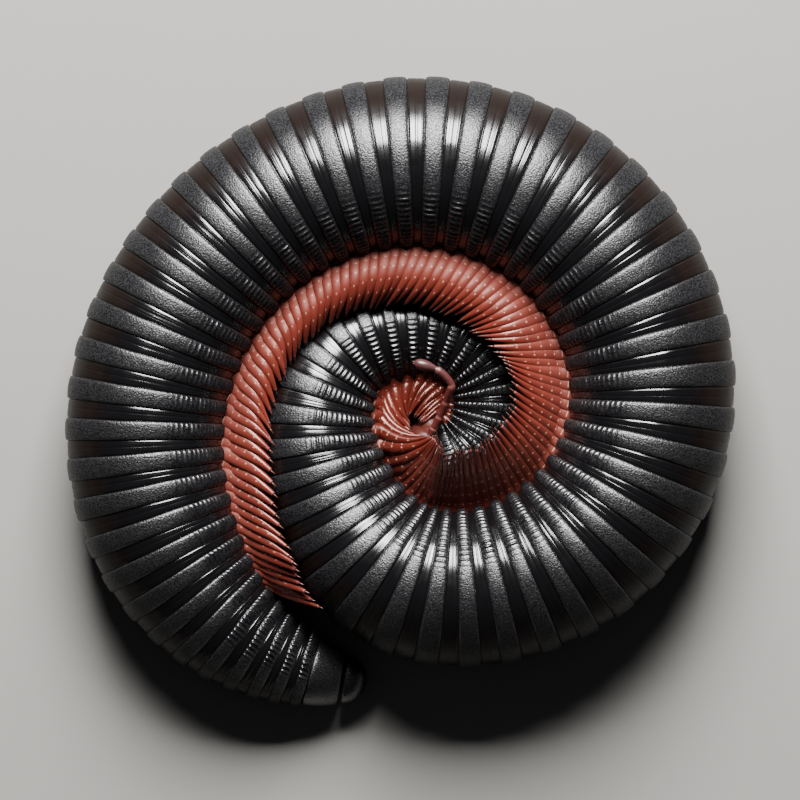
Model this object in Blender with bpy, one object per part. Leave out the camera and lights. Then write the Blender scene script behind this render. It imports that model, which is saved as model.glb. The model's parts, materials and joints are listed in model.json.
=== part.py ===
"""A stout millipede curled flat on its side, life size.

The body follows one flat spiral from the tail, round the outside of the coil,
to the head in the middle. All lengths are in millimetres until they are placed.
"""

import copy
import math

import bmesh
import bpy
from mathutils import Matrix, Vector

MM = 0.001

# The body's middle line from tail to head. Each station gives the direction from the
# coil's centre in degrees, the distance from it, the body's radius and one ring's length.
STATIONS = (
    (266.0, 26.3, 1.2, 1.5),
    (262.0, 26.5, 2.0, 1.5),
    (250.0, 26.9, 3.6, 1.6),
    (238.0, 26.8, 4.95, 1.9),
    (225.0, 26.2, 6.1, 2.4),
    (210.0, 25.3, 7.05, 2.8),
    (180.0, 23.4, 7.6, 3.0),
    (150.0, 21.8, 7.75, 2.85),
    (120.0, 21.4, 7.9, 2.8),
    (90.0, 21.9, 8.15, 2.95),
    (45.0, 23.1, 8.2, 3.1),
    (0.0, 23.4, 7.9, 3.15),
    (-30.0, 22.1, 7.7, 2.9),
    (-60.0, 19.6, 7.45, 2.75),
    (-90.0, 16.5, 7.15, 2.75),
    (-120.0, 11.6, 6.3, 2.65),
    (-150.0, 9.0, 5.95, 2.55),
    (-185.0, 7.4, 5.45, 2.6),
    (-225.0, 6.6, 4.85, 2.35),
    (-270.0, 6.35, 4.5, 1.95),
    (-315.0, 7.7, 4.25, 1.85),
    (-345.0, 8.8, 4.1, 1.6),
    (-378.0, 8.75, 3.95, 1.4),
    (-398.0, 8.2, 3.85, 1.25),
    (-413.0, 7.55, 3.7, 1.2),
    (-429.0, 6.2, 3.1, 1.2),
)

# How far the legs reach in past the body's belly side, and how far their tips
# trail back toward the tail, by direction from the coil's centre.
LEG_STATIONS = (
    (262.0, 1.3, 4.6),
    (232.0, 1.5, 5.2),
    (210.0, 2.9, 3.7),
    (180.0, 3.8, 2.9),
    (120.0, 3.6, 2.4),
    (60.0, 4.9, 3.0),
    (30.0, 5.7, 3.2),
    (-30.0, 5.9, 2.4),
    (-60.0, 5.8, 1.6),
    (-90.0, 5.4, 0.0),
    (-120.0, 4.7, -1.6),
    (-150.0, 4.2, -0.5),
    (-185.0, 3.8, 0.5),
    (-225.0, 3.6, 0.0),
    (-270.0, 3.0, -0.8),
    (-315.0, 2.8, -0.4),
    (-345.0, 1.9, 0.8),
    (-398.0, 1.1, 0.6),
    (-413.0, 0.9, 0.4),
)

LINE_STEP = 0.5
EASE_OFFSETS = (-12.0, -6.0, 0.0, 6.0, 12.0)
COLLUM_BACK = -405.5
TELSON_FRONT = 251.0
SIDES = 16
GAP = 0.3
SMALLEST_EDGE = 2.0e-6
MERGE = 1.0e-4

RINGS_PER_LENGTH = 5
RAISED_SHARE = 0.55
GROOVE_SHARE = 0.8
GROOVE_DEPTH = 0.045
END_DEPTH = 0.03

COLLUM_LENGTH = 2.1
COLLUM_FRONT = 0.86
COLLUM_MIDDLE = 0.98
COLLUM_TURN = 26.0
COLLUM_SAMPLES = (0.4, 0.9)

LEG_SIDES = 3
UPPER_LEGS_PER_RING = 2
LOWER_LEGS_PER_RING = 1
LEG_RADIUS = 0.4
LEG_LEAST_RADIUS = 0.33
LEG_FULL_BODY = 8.0
LEG_TIP_RADIUS = 0.13
LEG_ROOT_ANGLE = 14.0
LEG_ROOT_DEPTH = 0.85
LEG_KNEE_ANGLE = 23.0
LEG_KNEE_RISE = 0.6
LEG_KNEE_TRAIL = 0.1
LEG_MIDDLE_TRAIL = 0.55
LEG_MIDDLE_REACH = 0.5
LEG_MIDDLE_HEIGHT = 0.75
LEG_TIP_HEIGHT = 0.2
LEG_BEND_SHARE = 0.85
LEG_END_MARGIN = 0.53
TRAIL_MARGIN = 0.15
LEAST_SQUEEZE = 0.3
SIDE_SHARE = 0.85
LEG_BENDS = (0.65, 1.0)
LEG_SAMPLES = (0.3, 0.45, 0.6, 0.75, 0.88, 1.0)
KNEE_SAMPLES = (0.0, 0.15)
OWN_TURN = 60.0
LEG_LEAST_CUT = 0.22
LEG_CUT_STEP = 0.06
LIFT_ROUNDS = 4
LEG_SPLIT = 0.7
LEG_CLEAR_SHARE = 0.8
LEG_CLEAR_SLACK = 0.02
NEAR_LEGS = 18.0
GAP_SAMPLES = 8
FRAME_REACH = 0.9
FRAMES_PER_RING = 3
LEG_REACHES = (1.0, 0.9)
UNDER_REACHES = (0.75, 0.6, 0.45, 0.3, 0.15, 0.05)
LEGLESS_TAIL_RINGS = 4
LEGLESS_FRONT_RINGS = 1
ONE_PAIR_RINGS = 7
FLOOR_CLEARANCE = 0.08

HEAD_LONG = 2.25
HEAD_DEEP = 3.05
HEAD_HALF_HEIGHT = 3.3
HEAD_LIFT = 0.55
HEAD_AHEAD = 1.45
HEAD_SIDEWAYS = 1.35
HEAD_TURN = 28.0
MOUTH_RADIUS = 1.2
MOUTH_TALL = 1.7
MOUTH_PLACE = 0.82
EYE_SIZE = (0.62, 0.45, 0.2)
EYE_PLACE = 0.1
EYE_LIFT = 0.17

ANTENNA_SIDES = 6
ANTENNA_JOINTS = 7
ANTENNA_THICK = 0.5
ANTENNA_BASE_RADIUS = 0.36
ANTENNA_WIDENING = 0.22
ANTENNA_NECK = 0.72
ANTENNA_NECK_PLACE = 0.02
ANTENNA_FULL_PLACE = 0.75
ANTENNA_END_RADIUS = 0.25
FEELER_BASE = 1.6
RIGHT_FEELER = ((4.1, -1.6, 7.8), (5.15, 1.0, 8.8), (3.8, 2.9, 9.6), (1.3, 3.4, 10.0))
LEFT_FEELER = ((4.0, -1.4, 0.7), (3.4, 0.6, 0.7), (1.6, 1.5, 0.7))

TELSON_FRONT_SIZE = 0.97
TELSON_WIDEST = 1.2
TELSON_LENGTH = 3.0
VALVE_GAP = 0.3
VALVE_SIZE = 0.94

SHELL_COLOUR = (0.018, 0.017, 0.019, 1.0)
LEG_COLOUR = (0.30, 0.075, 0.045, 1.0)
HEAD_COLOUR = (0.16, 0.045, 0.03, 1.0)
FEELER_COLOUR = (0.42, 0.16, 0.12, 1.0)
EYE_COLOUR = (0.01, 0.01, 0.012, 1.0)


def clear_scene():
    for obj in list(bpy.data.objects):
        bpy.data.objects.remove(obj, do_unlink=True)


def material(name, colour, roughness):
    made = bpy.data.materials.new(name)
    made.use_nodes = True
    shader = made.node_tree.nodes["Principled BSDF"]
    shader.inputs["Base Color"].default_value = colour
    shader.inputs["Roughness"].default_value = roughness
    shader.inputs["Metallic"].default_value = 0.0
    made.diffuse_color = colour
    return made


def smooth_value(table, angle, column):
    """A column of a station table at any angle, by a smooth curve through its rows."""
    last = len(table) - 2
    row = 0
    while row < last and table[row + 1][0] > angle:
        row += 1

    def slope(i):
        low = max(i - 1, 0)
        high = min(i + 1, len(table) - 1)
        return (table[high][column] - table[low][column]) / (table[high][0] - table[low][0])

    start = table[row]
    end = table[row + 1]
    span = end[0] - start[0]
    t = min(max((angle - start[0]) / span, 0.0), 1.0)
    a = start[column]
    b = end[column]
    m = slope(row) * span
    n = slope(row + 1) * span
    return (
        (2 * t**3 - 3 * t**2 + 1) * a
        + (t**3 - 2 * t**2 + t) * m
        + (3 * t**2 - 2 * t**3) * b
        + (t**3 - t**2) * n
    )


def line_point(angle):
    samples = [smooth_value(STATIONS, angle + offset, 1) for offset in EASE_OFFSETS]
    distance = sum(samples) / len(samples)
    turn = math.radians(angle)
    return Vector((distance * math.cos(turn), distance * math.sin(turn), 0.0))


class Frame:
    """One cross-section of the body: its middle, headward, belly and upward directions."""

    def __init__(self, angle):
        ahead = line_point(angle - LINE_STEP)
        behind = line_point(angle + LINE_STEP)
        self.angle = angle
        self.radius = smooth_value(STATIONS, angle, 2)
        self.middle = line_point(angle) + Vector((0.0, 0.0, self.radius))
        self.forward = (ahead - behind).normalized()
        self.belly = Vector((self.forward.y, -self.forward.x, 0.0))
        self.up = Vector((0.0, 0.0, 1.0))

    def ahead(self, length, degrees):
        """A copy moved on toward the head and turned to the belly side."""
        made = copy.copy(self)
        half = Matrix.Rotation(math.radians(-degrees / 2), 3, "Z")
        made.middle = self.middle + half @ self.forward * length
        made.forward = half @ half @ self.forward
        made.belly = half @ half @ self.belly
        return made

    def at(self, turn, distance, along=0.0):
        """A point at a turn from the belly side toward the top, at a distance from the middle."""
        a = math.radians(turn)
        out = self.belly * (math.cos(a) * distance) + self.up * (math.sin(a) * distance)
        return self.middle + out + self.forward * along

    def place(self, along, inward, height):
        return self.middle + self.forward * along + self.belly * inward + self.up * height


def angle_after(angle, length):
    """The station angle reached after going a length toward the head, or back if negative."""
    step = LINE_STEP if length > 0 else -LINE_STEP
    left = abs(length)
    here = line_point(angle)
    while left > 0:
        there = line_point(angle - step)
        stretch = (there - here).length
        if stretch >= left:
            return angle - step * left / stretch
        left -= stretch
        angle -= step
        here = there
    return angle


def ring_edges():
    """The station angle of each ring's edges, from behind the collum back to the telson."""
    edges = [COLLUM_BACK]
    while edges[-1] < TELSON_FRONT:
        length = smooth_value(STATIONS, edges[-1], 3)
        edges.append(angle_after(edges[-1], -length))
    return edges


def loop_points(angle, scale):
    """The corners of one cross-section, with a flat side lying down and one up."""
    return frame_loop(Frame(angle), scale)


def end_loop(angle, scale, shift):
    """A cross-section moved a little along the body without turning, for an end face."""
    frame = Frame(angle)
    frame.middle = frame.middle + frame.forward * shift
    return frame_loop(frame, scale)


def frame_loop(frame, scale):
    corner = frame.radius * scale / math.cos(math.pi / SIDES)
    return [frame.at((i + 0.5) * 360.0 / SIDES, corner) for i in range(SIDES)]


def add_loops(shape, loops):
    """Skin a row of equal loops and close both ends."""
    rows = [[shape.verts.new(point) for point in loop] for loop in loops]
    count = len(rows[0])
    for first, second in zip(rows, rows[1:]):
        for i in range(count):
            j = (i + 1) % count
            shape.faces.new((first[i], first[j], second[j], second[i]))
    shape.faces.new(rows[0][::-1])
    shape.faces.new(rows[-1])


def finish_object(name, shape, look, smooth=True):
    bmesh.ops.recalc_face_normals(shape, faces=shape.faces)
    bmesh.ops.scale(shape, vec=(MM, MM, MM), verts=shape.verts)
    mesh = bpy.data.meshes.new(name)
    shape.to_mesh(mesh)
    shape.free()
    for face in mesh.polygons:
        face.use_smooth = smooth
    mesh.materials.append(look)
    obj = bpy.data.objects.new(name, mesh)
    bpy.context.scene.collection.objects.link(obj)
    return obj


def keep_largest(mesh):
    """Keep only the largest closed surface, followed over edges that join two faces."""
    shape = bmesh.new()
    shape.from_mesh(mesh)
    bmesh.ops.triangulate(shape, faces=shape.faces)
    bmesh.ops.dissolve_degenerate(shape, edges=shape.edges, dist=SMALLEST_EDGE)
    shape.faces.ensure_lookup_table()
    seen = set()
    groups = []
    for start in shape.faces:
        if start.index in seen:
            continue
        seen.add(start.index)
        group = [start]
        for face in group:
            for edge in face.edges:
                for other in edge.link_faces:
                    if other.index not in seen and len(edge.link_faces) == 2:
                        seen.add(other.index)
                        group.append(other)
        groups.append(group)
    groups.sort(key=len, reverse=True)
    extra = [face for group in groups[1:] for face in group]
    bmesh.ops.delete(shape, geom=extra, context="FACES")
    shape.to_mesh(mesh)
    shape.free()


def fuse(obj, pieces):
    """Join closed pieces to an object with one union, then remove the pieces."""
    group = bpy.data.collections.new(obj.name + "_pieces")
    bpy.context.scene.collection.children.link(group)
    for piece in pieces:
        bpy.context.scene.collection.objects.unlink(piece)
        group.objects.link(piece)
    union = obj.modifiers.new("union", "BOOLEAN")
    union.operation = "UNION"
    union.operand_type = "COLLECTION"
    union.collection = group
    union.solver = "EXACT"
    bpy.context.view_layer.update()
    graph = bpy.context.evaluated_depsgraph_get()
    joined = bpy.data.meshes.new_from_object(obj.evaluated_get(graph), depsgraph=graph)
    obj.modifiers.clear()
    obj.data = joined
    for piece in pieces:
        bpy.data.objects.remove(piece, do_unlink=True)
    bpy.data.collections.remove(group)
    keep_largest(obj.data)


def tube_loops(points, radii, sides, spin=0.0):
    """Round cross-sections along a bent path, each square to it."""
    loops = []
    side = Vector((0.0, 0.0, 1.0))
    for i, point in enumerate(points):
        before = points[max(i - 1, 0)]
        after = points[min(i + 1, len(points) - 1)]
        ahead = (after - before).normalized()
        across = side - ahead * side.dot(ahead)
        if across.length < 0.2:
            across = Vector((1.0, 0.0, 0.0)) - ahead * ahead.x
        across.normalize()
        other = ahead.cross(across)
        loop = []
        for k in range(sides):
            a = spin + 2.0 * math.pi * k / sides
            loop.append(point + (across * math.cos(a) + other * math.sin(a)) * radii[i])
        loops.append(loop)
    return loops


def ring_length_object(name, edges, look):
    """A few rings in one piece: a groove and a raised band on each, the groove headward."""
    loops = [end_loop(edges[0], 1.0 - END_DEPTH, -GAP / 2)]
    last = len(edges) - 2
    for i in range(len(edges) - 1):
        width = edges[i + 1] - edges[i]
        groove = edges[i] + width * (1.0 - GROOVE_SHARE)
        raised = edges[i] + width * (1.0 - RAISED_SHARE)
        loops.append(loop_points(groove, 1.0 - GROOVE_DEPTH))
        loops.append(loop_points(raised, 1.0))
        if i < last:
            loops.append(loop_points(edges[i + 1], 1.0))
        else:
            loops.append(end_loop(edges[i + 1], 1.0, GAP / 2))
    shape = bmesh.new()
    add_loops(shape, loops)
    return finish_object(name, shape, look)


class Obstacles:
    """What a leg has to keep clear of: the coil's own turns and the head."""

    def __init__(self, frames, head_middle):
        self.frames = frames
        self.head = head_middle

    def height_over(self, point, need, own):
        """How far above or below each thing's middle a point must be to clear it."""
        found = []
        for frame in self.frames:
            if own is not None and abs(frame.angle - own) < OWN_TURN:
                continue
            offset = point - frame.middle
            limit = frame.radius / math.cos(math.pi / SIDES) + need
            inward = offset.dot(frame.belly)
            if abs(offset.dot(frame.forward)) < FRAME_REACH and abs(inward) < limit:
                found.append((frame.middle.z, math.sqrt(limit * limit - inward * inward)))
        flat = Vector((point.x - self.head.x, point.y - self.head.y, 0.0)).length
        reach = HEAD_DEEP + need
        if flat < reach:
            height = (HEAD_HALF_HEIGHT + need) * math.sqrt(1.0 - (flat / reach) ** 2)
            found.append((self.head.z, height))
        return found

    def shortfall(self, point, need, rise, own=None):
        """How much further up or down a point has to go to be clear."""
        missing = 0.0
        for middle, height in self.height_over(point, need, own):
            missing = max(missing, height - rise * (point.z - middle))
        return missing


class Leg:
    """One leg: a sunk root, a knee, and a curved stretch to the tip that can be cut short."""

    def __init__(self, angle, rise, obstacles):
        frame = Frame(angle)
        self.rise = rise
        self.angle = angle
        self.cut = 1.0
        self.thick = max(LEG_RADIUS * math.sqrt(frame.radius / LEG_FULL_BODY), LEG_LEAST_RADIUS)
        for share in LEG_REACHES if rise > 0 else UNDER_REACHES:
            self.lay_out(frame, share, obstacles)
            if not self.blocked(obstacles, rise):
                break
        while self.cut > LEG_LEAST_CUT and self.blocked(obstacles, rise):
            self.cut -= LEG_CUT_STEP
        self.fits = not self.blocked(obstacles, rise)

    def lay_out(self, frame, share, obstacles):
        """Place the knee, middle and tip for a share of the full reach, lifted clear."""
        rise = self.rise
        reach = share * smooth_value(LEG_STATIONS, frame.angle, 1)
        trail = share * smooth_value(LEG_STATIONS, frame.angle, 2)
        self.root = frame.at(rise * LEG_ROOT_ANGLE, frame.radius - LEG_ROOT_DEPTH)
        knee_back = LEG_KNEE_TRAIL * trail
        self.knee = frame.at(rise * LEG_KNEE_ANGLE, frame.radius + LEG_KNEE_RISE, -knee_back)
        height = (self.knee - frame.middle).z
        half_way = frame.radius + LEG_MIDDLE_REACH * reach
        self.middle = frame.place(-LEG_MIDDLE_TRAIL * trail, half_way, height * LEG_MIDDLE_HEIGHT)
        self.tip = frame.place(-trail, frame.radius + reach, height * LEG_TIP_HEIGHT)
        for _ in range(LIFT_ROUNDS):
            for spot_share in LEG_SAMPLES:
                spot = self.curve(spot_share)
                need = GAP + self.radius_at(spot_share)
                missing = obstacles.shortfall(spot, need, rise)
                if missing > 0.0 and spot_share < LEG_SPLIT:
                    self.middle.z += rise * missing
                elif missing > 0.0:
                    self.tip.z += rise * missing
            lowest = FLOOR_CLEARANCE + self.thick
            self.middle.z = max(self.middle.z, lowest)
            self.tip.z = max(self.tip.z, lowest)

    def blocked(self, obstacles, rise):
        spots = [(share, None) for share in LEG_SAMPLES if share <= self.cut]
        spots.extend((share, self.angle) for share in KNEE_SAMPLES)
        for share, own in spots:
            need = LEG_CLEAR_SHARE * GAP + self.radius_at(share)
            if obstacles.shortfall(self.curve(share), need, rise, own) > LEG_CLEAR_SLACK:
                return True
        return False

    def radius_at(self, share):
        return self.thick * (1.0 - share) + 2.0 * LEG_TIP_RADIUS * share

    def curve(self, share):
        """A smooth line from the knee through the middle to the tip."""
        first = self.knee.lerp(self.middle, 2.0 * share)
        second = self.middle.lerp(self.tip, 2.0 * share - 1.0)
        return first.lerp(second, share)

    def path(self):
        bends = [self.curve(share * self.cut) for share in LEG_BENDS]
        return [self.root, self.knee] + bends

    def radii(self):
        return [self.thick, self.thick, self.thick * LEG_BEND_SHARE, LEG_TIP_RADIUS]


def between_segments(a, b, c, d):
    """Smallest distance between two straight stretches."""
    best = 1.0e9
    line = d - c
    for i in range(GAP_SAMPLES + 1):
        point = a.lerp(b, i / GAP_SAMPLES)
        t = min(max((point - c).dot(line) / line.length_squared, 0.0), 1.0)
        best = min(best, (point - c - line * t).length)
    return best


def path_gap(first, second):
    """How near two tapered paths come, measured from their surfaces."""
    best = 1.0e9
    for i in range(1, len(first[0])):
        for j in range(1, len(second[0])):
            apart = between_segments(first[0][i - 1], first[0][i], second[0][j - 1], second[0][j])
            thick = max(first[1][i - 1 : i + 1]) + max(second[1][j - 1 : j + 1])
            best = min(best, apart - thick * SIDE_SHARE)
    return best


def trim_legs(legs_by_node, feelers):
    """Cut the legs of different nodes back until they keep the gap, or leave them out."""
    placed = [(feeler, feeler[0][0]) for feeler in feelers]
    for name in legs_by_node:
        kept = []
        for leg in legs_by_node[name]:
            clear = False
            while leg.fits and not clear and leg.cut > LEG_LEAST_CUT:
                shape = (leg.path(), leg.radii())
                near = [
                    other
                    for other, start in placed
                    if (start - leg.knee).length < NEAR_LEGS and path_gap(shape, other) < GAP
                ]
                clear = not near
                if near:
                    leg.cut -= LEG_CUT_STEP
            if clear:
                kept.append(leg)
        legs_by_node[name] = kept
        placed.extend(((leg.path(), leg.radii()), leg.knee) for leg in kept)


def leg_object(leg, look, number):
    shape = bmesh.new()
    add_loops(shape, tube_loops(leg.path(), leg.radii(), LEG_SIDES))
    return finish_object("leg_%d" % number, shape, look)


def ellipsoid(shape, middle, axes, sizes, around=14, rows=8):
    """A closed rounded body with its own three directions and half sizes."""
    top = shape.verts.new(middle + axes[2] * sizes[2])
    bottom = shape.verts.new(middle - axes[2] * sizes[2])
    rings = []
    for r in range(1, rows):
        slope = math.pi * r / rows
        ring = []
        for k in range(around):
            a = 2.0 * math.pi * k / around
            point = middle + axes[0] * (sizes[0] * math.sin(slope) * math.cos(a))
            point = point + axes[1] * (sizes[1] * math.sin(slope) * math.sin(a))
            ring.append(shape.verts.new(point + axes[2] * (sizes[2] * math.cos(slope))))
        rings.append(ring)
    for k in range(around):
        j = (k + 1) % around
        shape.faces.new((top, rings[0][k], rings[0][j]))
        shape.faces.new((bottom, rings[-1][j], rings[-1][k]))
        for first, second in zip(rings, rings[1:]):
            shape.faces.new((first[k], second[k], second[j], first[j]))


def turned(frame, degrees):
    """Forward and belly directions turned in the floor's plane."""
    spin = Matrix.Rotation(math.radians(degrees), 3, "Z")
    return spin @ frame.forward, spin @ frame.belly


def collum_front():
    return Frame(COLLUM_BACK).ahead(COLLUM_LENGTH, COLLUM_TURN)


def collum_object(look):
    back = Frame(COLLUM_BACK)
    back.middle = back.middle + back.forward * (GAP / 2)
    middle = back.ahead(COLLUM_LENGTH * 0.5, COLLUM_TURN * 0.5)
    shape = bmesh.new()
    loops = [
        frame_loop(collum_front(), COLLUM_FRONT),
        frame_loop(middle, COLLUM_MIDDLE),
        frame_loop(back, 1.0),
    ]
    add_loops(shape, loops)
    return finish_object("collum", shape, look)


def head_frame():
    """The head's middle and directions, just ahead of the collum."""
    frame = collum_front()
    forward, belly = turned(frame, -HEAD_TURN)
    middle = frame.middle + frame.forward * HEAD_AHEAD + frame.belly * HEAD_SIDEWAYS
    middle.z = HEAD_HALF_HEIGHT + HEAD_LIFT
    return frame, middle, forward, belly


def head_object(look):
    frame, middle, forward, belly = head_frame()
    up = Vector((0.0, 0.0, 1.0))
    shape = bmesh.new()
    ellipsoid(shape, middle, (forward, up, belly), (HEAD_LONG, HEAD_HALF_HEIGHT, HEAD_DEEP))
    wall = (frame.middle + frame.forward * GAP).dot(frame.forward)
    for vert in shape.verts:
        along = vert.co.dot(frame.forward)
        if along < wall:
            vert.co += frame.forward * (wall - along)
    obj = finish_object("head", shape, look)
    mouth = bmesh.new()
    spot = middle + belly * (HEAD_DEEP * MOUTH_PLACE)
    sizes = (MOUTH_RADIUS, MOUTH_RADIUS * MOUTH_TALL, MOUTH_RADIUS)
    ellipsoid(mouth, spot, (forward, up, belly), sizes, around=10, rows=6)
    for vert in mouth.verts:
        along = vert.co.dot(frame.forward)
        if along < wall:
            vert.co += frame.forward * (wall - along)
    fuse(obj, [finish_object("mouth", mouth, look)])
    return obj


def eye_object(name, rise, look):
    """A flat oval patch of small eyes on the side of the head."""
    middle, forward, belly = head_frame()[1:]
    spot = middle + belly * (HEAD_DEEP * EYE_PLACE) + forward * (HEAD_LONG * EYE_PLACE)
    spot.z = middle.z + rise * (HEAD_HALF_HEIGHT + EYE_LIFT)
    shape = bmesh.new()
    up = Vector((0.0, 0.0, 1.0))
    ellipsoid(shape, spot, (forward, belly, up), EYE_SIZE, around=10, rows=6)
    for vert in shape.verts:
        if rise > 0:
            vert.co.z = max(vert.co.z, spot.z)
        else:
            vert.co.z = min(vert.co.z, spot.z)
    bmesh.ops.remove_doubles(shape, verts=shape.verts, dist=MERGE)
    return finish_object(name, shape, look)


def antenna_bends():
    """The bends of the right feeler, lying over the coil, and of the left one under it."""
    middle, forward, belly = head_frame()[1:]
    base = middle + belly * FEELER_BASE
    height = HEAD_HALF_HEIGHT * math.sqrt(1.0 - (FEELER_BASE / HEAD_DEEP) ** 2) + GAP
    rise = Vector((0.0, 0.0, height))
    right = [base + rise] + [Vector(bend) for bend in RIGHT_FEELER]
    left = [base - rise] + [Vector(bend) for bend in LEFT_FEELER]
    return right, left


def antenna_object(name, bends, look):
    """Jointed feeler along a bent path, each joint wider at its far end."""
    lengths = [(b - a).length for a, b in zip(bends, bends[1:])]
    total = sum(lengths)

    def on_path(share):
        left = share * total
        for i, length in enumerate(lengths):
            if left <= length or i == len(lengths) - 1:
                return bends[i].lerp(bends[i + 1], min(left / length, 1.0))
            left -= length
        return bends[-1]

    points = []
    radii = []
    for joint in range(ANTENNA_JOINTS):
        start = joint / ANTENNA_JOINTS
        full = ANTENNA_BASE_RADIUS + ANTENNA_WIDENING * start
        points.append(on_path(start + ANTENNA_NECK_PLACE))
        radii.append(full * ANTENNA_NECK)
        points.append(on_path(start + ANTENNA_FULL_PLACE / ANTENNA_JOINTS))
        radii.append(full)
    points.append(on_path(1.0))
    radii.append(ANTENNA_END_RADIUS)
    shape = bmesh.new()
    add_loops(shape, tube_loops(points, radii, ANTENNA_SIDES))
    return finish_object(name, shape, look)


def telson_objects(start_angle, look):
    """The last ring, narrowing, and the two rounded valves that close it."""
    widest = angle_after(start_angle, -TELSON_WIDEST)
    end = angle_after(start_angle, -TELSON_LENGTH)
    shape = bmesh.new()
    loops = [
        end_loop(start_angle, TELSON_FRONT_SIZE, -GAP / 2),
        loop_points(widest, 1.0),
        loop_points(end, 1.0),
    ]
    add_loops(shape, loops)
    made = [finish_object("telson", shape, look)]
    frame = Frame(end)
    up = Vector((0.0, 0.0, 1.0))
    wall = (frame.middle - frame.forward * GAP).dot(frame.forward)
    for name, rise in (("anal_valve_right", 1.0), ("anal_valve_left", -1.0)):
        valve = bmesh.new()
        size = frame.radius * VALVE_SIZE
        ellipsoid(valve, frame.middle, (frame.forward, frame.belly, up), (size, size, size), 12, 8)
        for vert in valve.verts:
            along = vert.co.dot(frame.forward)
            if along > wall:
                vert.co += frame.forward * (wall - along)
            split = frame.middle.z + rise * VALVE_GAP / 2
            if rise * (vert.co.z - split) < 0.0:
                vert.co.z = split
        bmesh.ops.remove_doubles(valve, verts=valve.verts, dist=MERGE)
        bmesh.ops.dissolve_degenerate(valve, edges=valve.edges, dist=MERGE)
        made.append(finish_object(name, valve, look))
    return made


def leg_angles(edges, first, last, legs_per_ring):
    """Station angles of the legs on one side of a length, kept off its two ends."""
    shares = []
    for i in range(first, last):
        count = 1 if i <= ONE_PAIR_RINGS else legs_per_ring
        for leg in range(count):
            shares.append((leg + 0.5) / count + i - first)
    if not shares:
        return []
    start = edges[first]
    end = edges[last]
    margins = []
    for edge, inner, side_sign in ((start, first + 1, -1.0), (end, last - 1, 1.0)):
        near = Frame(edge)
        other = Frame(edges[inner])
        side = (near.place(0, near.radius, 0) - other.place(0, other.radius, 0)).length
        squeeze = side / (near.middle - other.middle).length
        trail = TRAIL_MARGIN * smooth_value(LEG_STATIONS, edge, 2) * side_sign
        margins.append((LEG_END_MARGIN + max(trail, 0.0)) / max(squeeze, LEAST_SQUEEZE))
    low = angle_after(start, -margins[0])
    high = angle_after(end, margins[1])
    span = shares[-1] - shares[0]
    return [low + (high - low) * (share - shares[0]) / max(span, 0.1) for share in shares]


def centre_everything(objects):
    """Put the middle of the outer box over the origin, with the floor at zero."""
    points = [obj.matrix_world @ vert.co for obj in objects for vert in obj.data.vertices]
    low = Vector([min(point[i] for point in points) for i in range(3)])
    high = Vector([max(point[i] for point in points) for i in range(3)])
    shift = Vector((-(low.x + high.x) / 2, -(low.y + high.y) / 2, -low.z))
    for obj in objects:
        obj.data.transform(Matrix.Translation(shift))


def build():
    clear_scene()
    edges = ring_edges()
    frames = []
    for a, b in zip(edges, edges[1:]):
        for part in range(FRAMES_PER_RING):
            frames.append(Frame(a + (b - a) * (part + 0.5) / FRAMES_PER_RING))
    for share in COLLUM_SAMPLES:
        frames.append(Frame(COLLUM_BACK).ahead(COLLUM_LENGTH * share, COLLUM_TURN * share))
    head_middle = head_frame()[1]
    obstacles = Obstacles(frames, head_middle)
    ring_count = len(edges) - 1
    length_count = round(ring_count / RINGS_PER_LENGTH)
    objects = []
    groups = {}
    legs_by_node = {}
    for number in range(length_count):
        first = round(number * ring_count / length_count)
        last = round((number + 1) * ring_count / length_count)
        name = "trunk_%02d" % (number + 1)
        look = material(name + "_shell", SHELL_COLOUR, 0.35)
        part = edges[first : last + 1]
        groups[name] = ring_length_object(name, part, look)
        objects.append(groups[name])
        legged_first = max(first, LEGLESS_FRONT_RINGS)
        legged_last = min(last, ring_count - LEGLESS_TAIL_RINGS)
        legs = []
        for rise, each in ((1, UPPER_LEGS_PER_RING), (-1, LOWER_LEGS_PER_RING)):
            for angle in leg_angles(edges, legged_first, legged_last, each):
                legs.append(Leg(angle, rise, obstacles))
        legs_by_node[name] = legs
    feelers = antenna_bends()
    trim_legs(legs_by_node, [(bends, [ANTENNA_THICK] * len(bends)) for bends in feelers])
    leg_look = material("legs", LEG_COLOUR, 0.3)
    total = 0
    for name in groups:
        pieces = []
        for leg in legs_by_node[name]:
            total += 1
            pieces.append(leg_object(leg, leg_look, total))
        if pieces:
            fuse(groups[name], pieces)
    objects.append(collum_object(material("collum_shell", SHELL_COLOUR, 0.3)))
    objects.append(head_object(material("head_shell", HEAD_COLOUR, 0.35)))
    eye_look = material("eyes", EYE_COLOUR, 0.2)
    objects.append(eye_object("eye_right", 1.0, eye_look))
    objects.append(eye_object("eye_left", -1.0, eye_look))
    feeler_look = material("feelers", FEELER_COLOUR, 0.35)
    objects.append(antenna_object("antenna_right", feelers[0], feeler_look))
    objects.append(antenna_object("antenna_left", feelers[1], feeler_look))
    objects.extend(telson_objects(edges[-1], material("tail_shell", SHELL_COLOUR, 0.35)))
    centre_everything(objects)


build()
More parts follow.
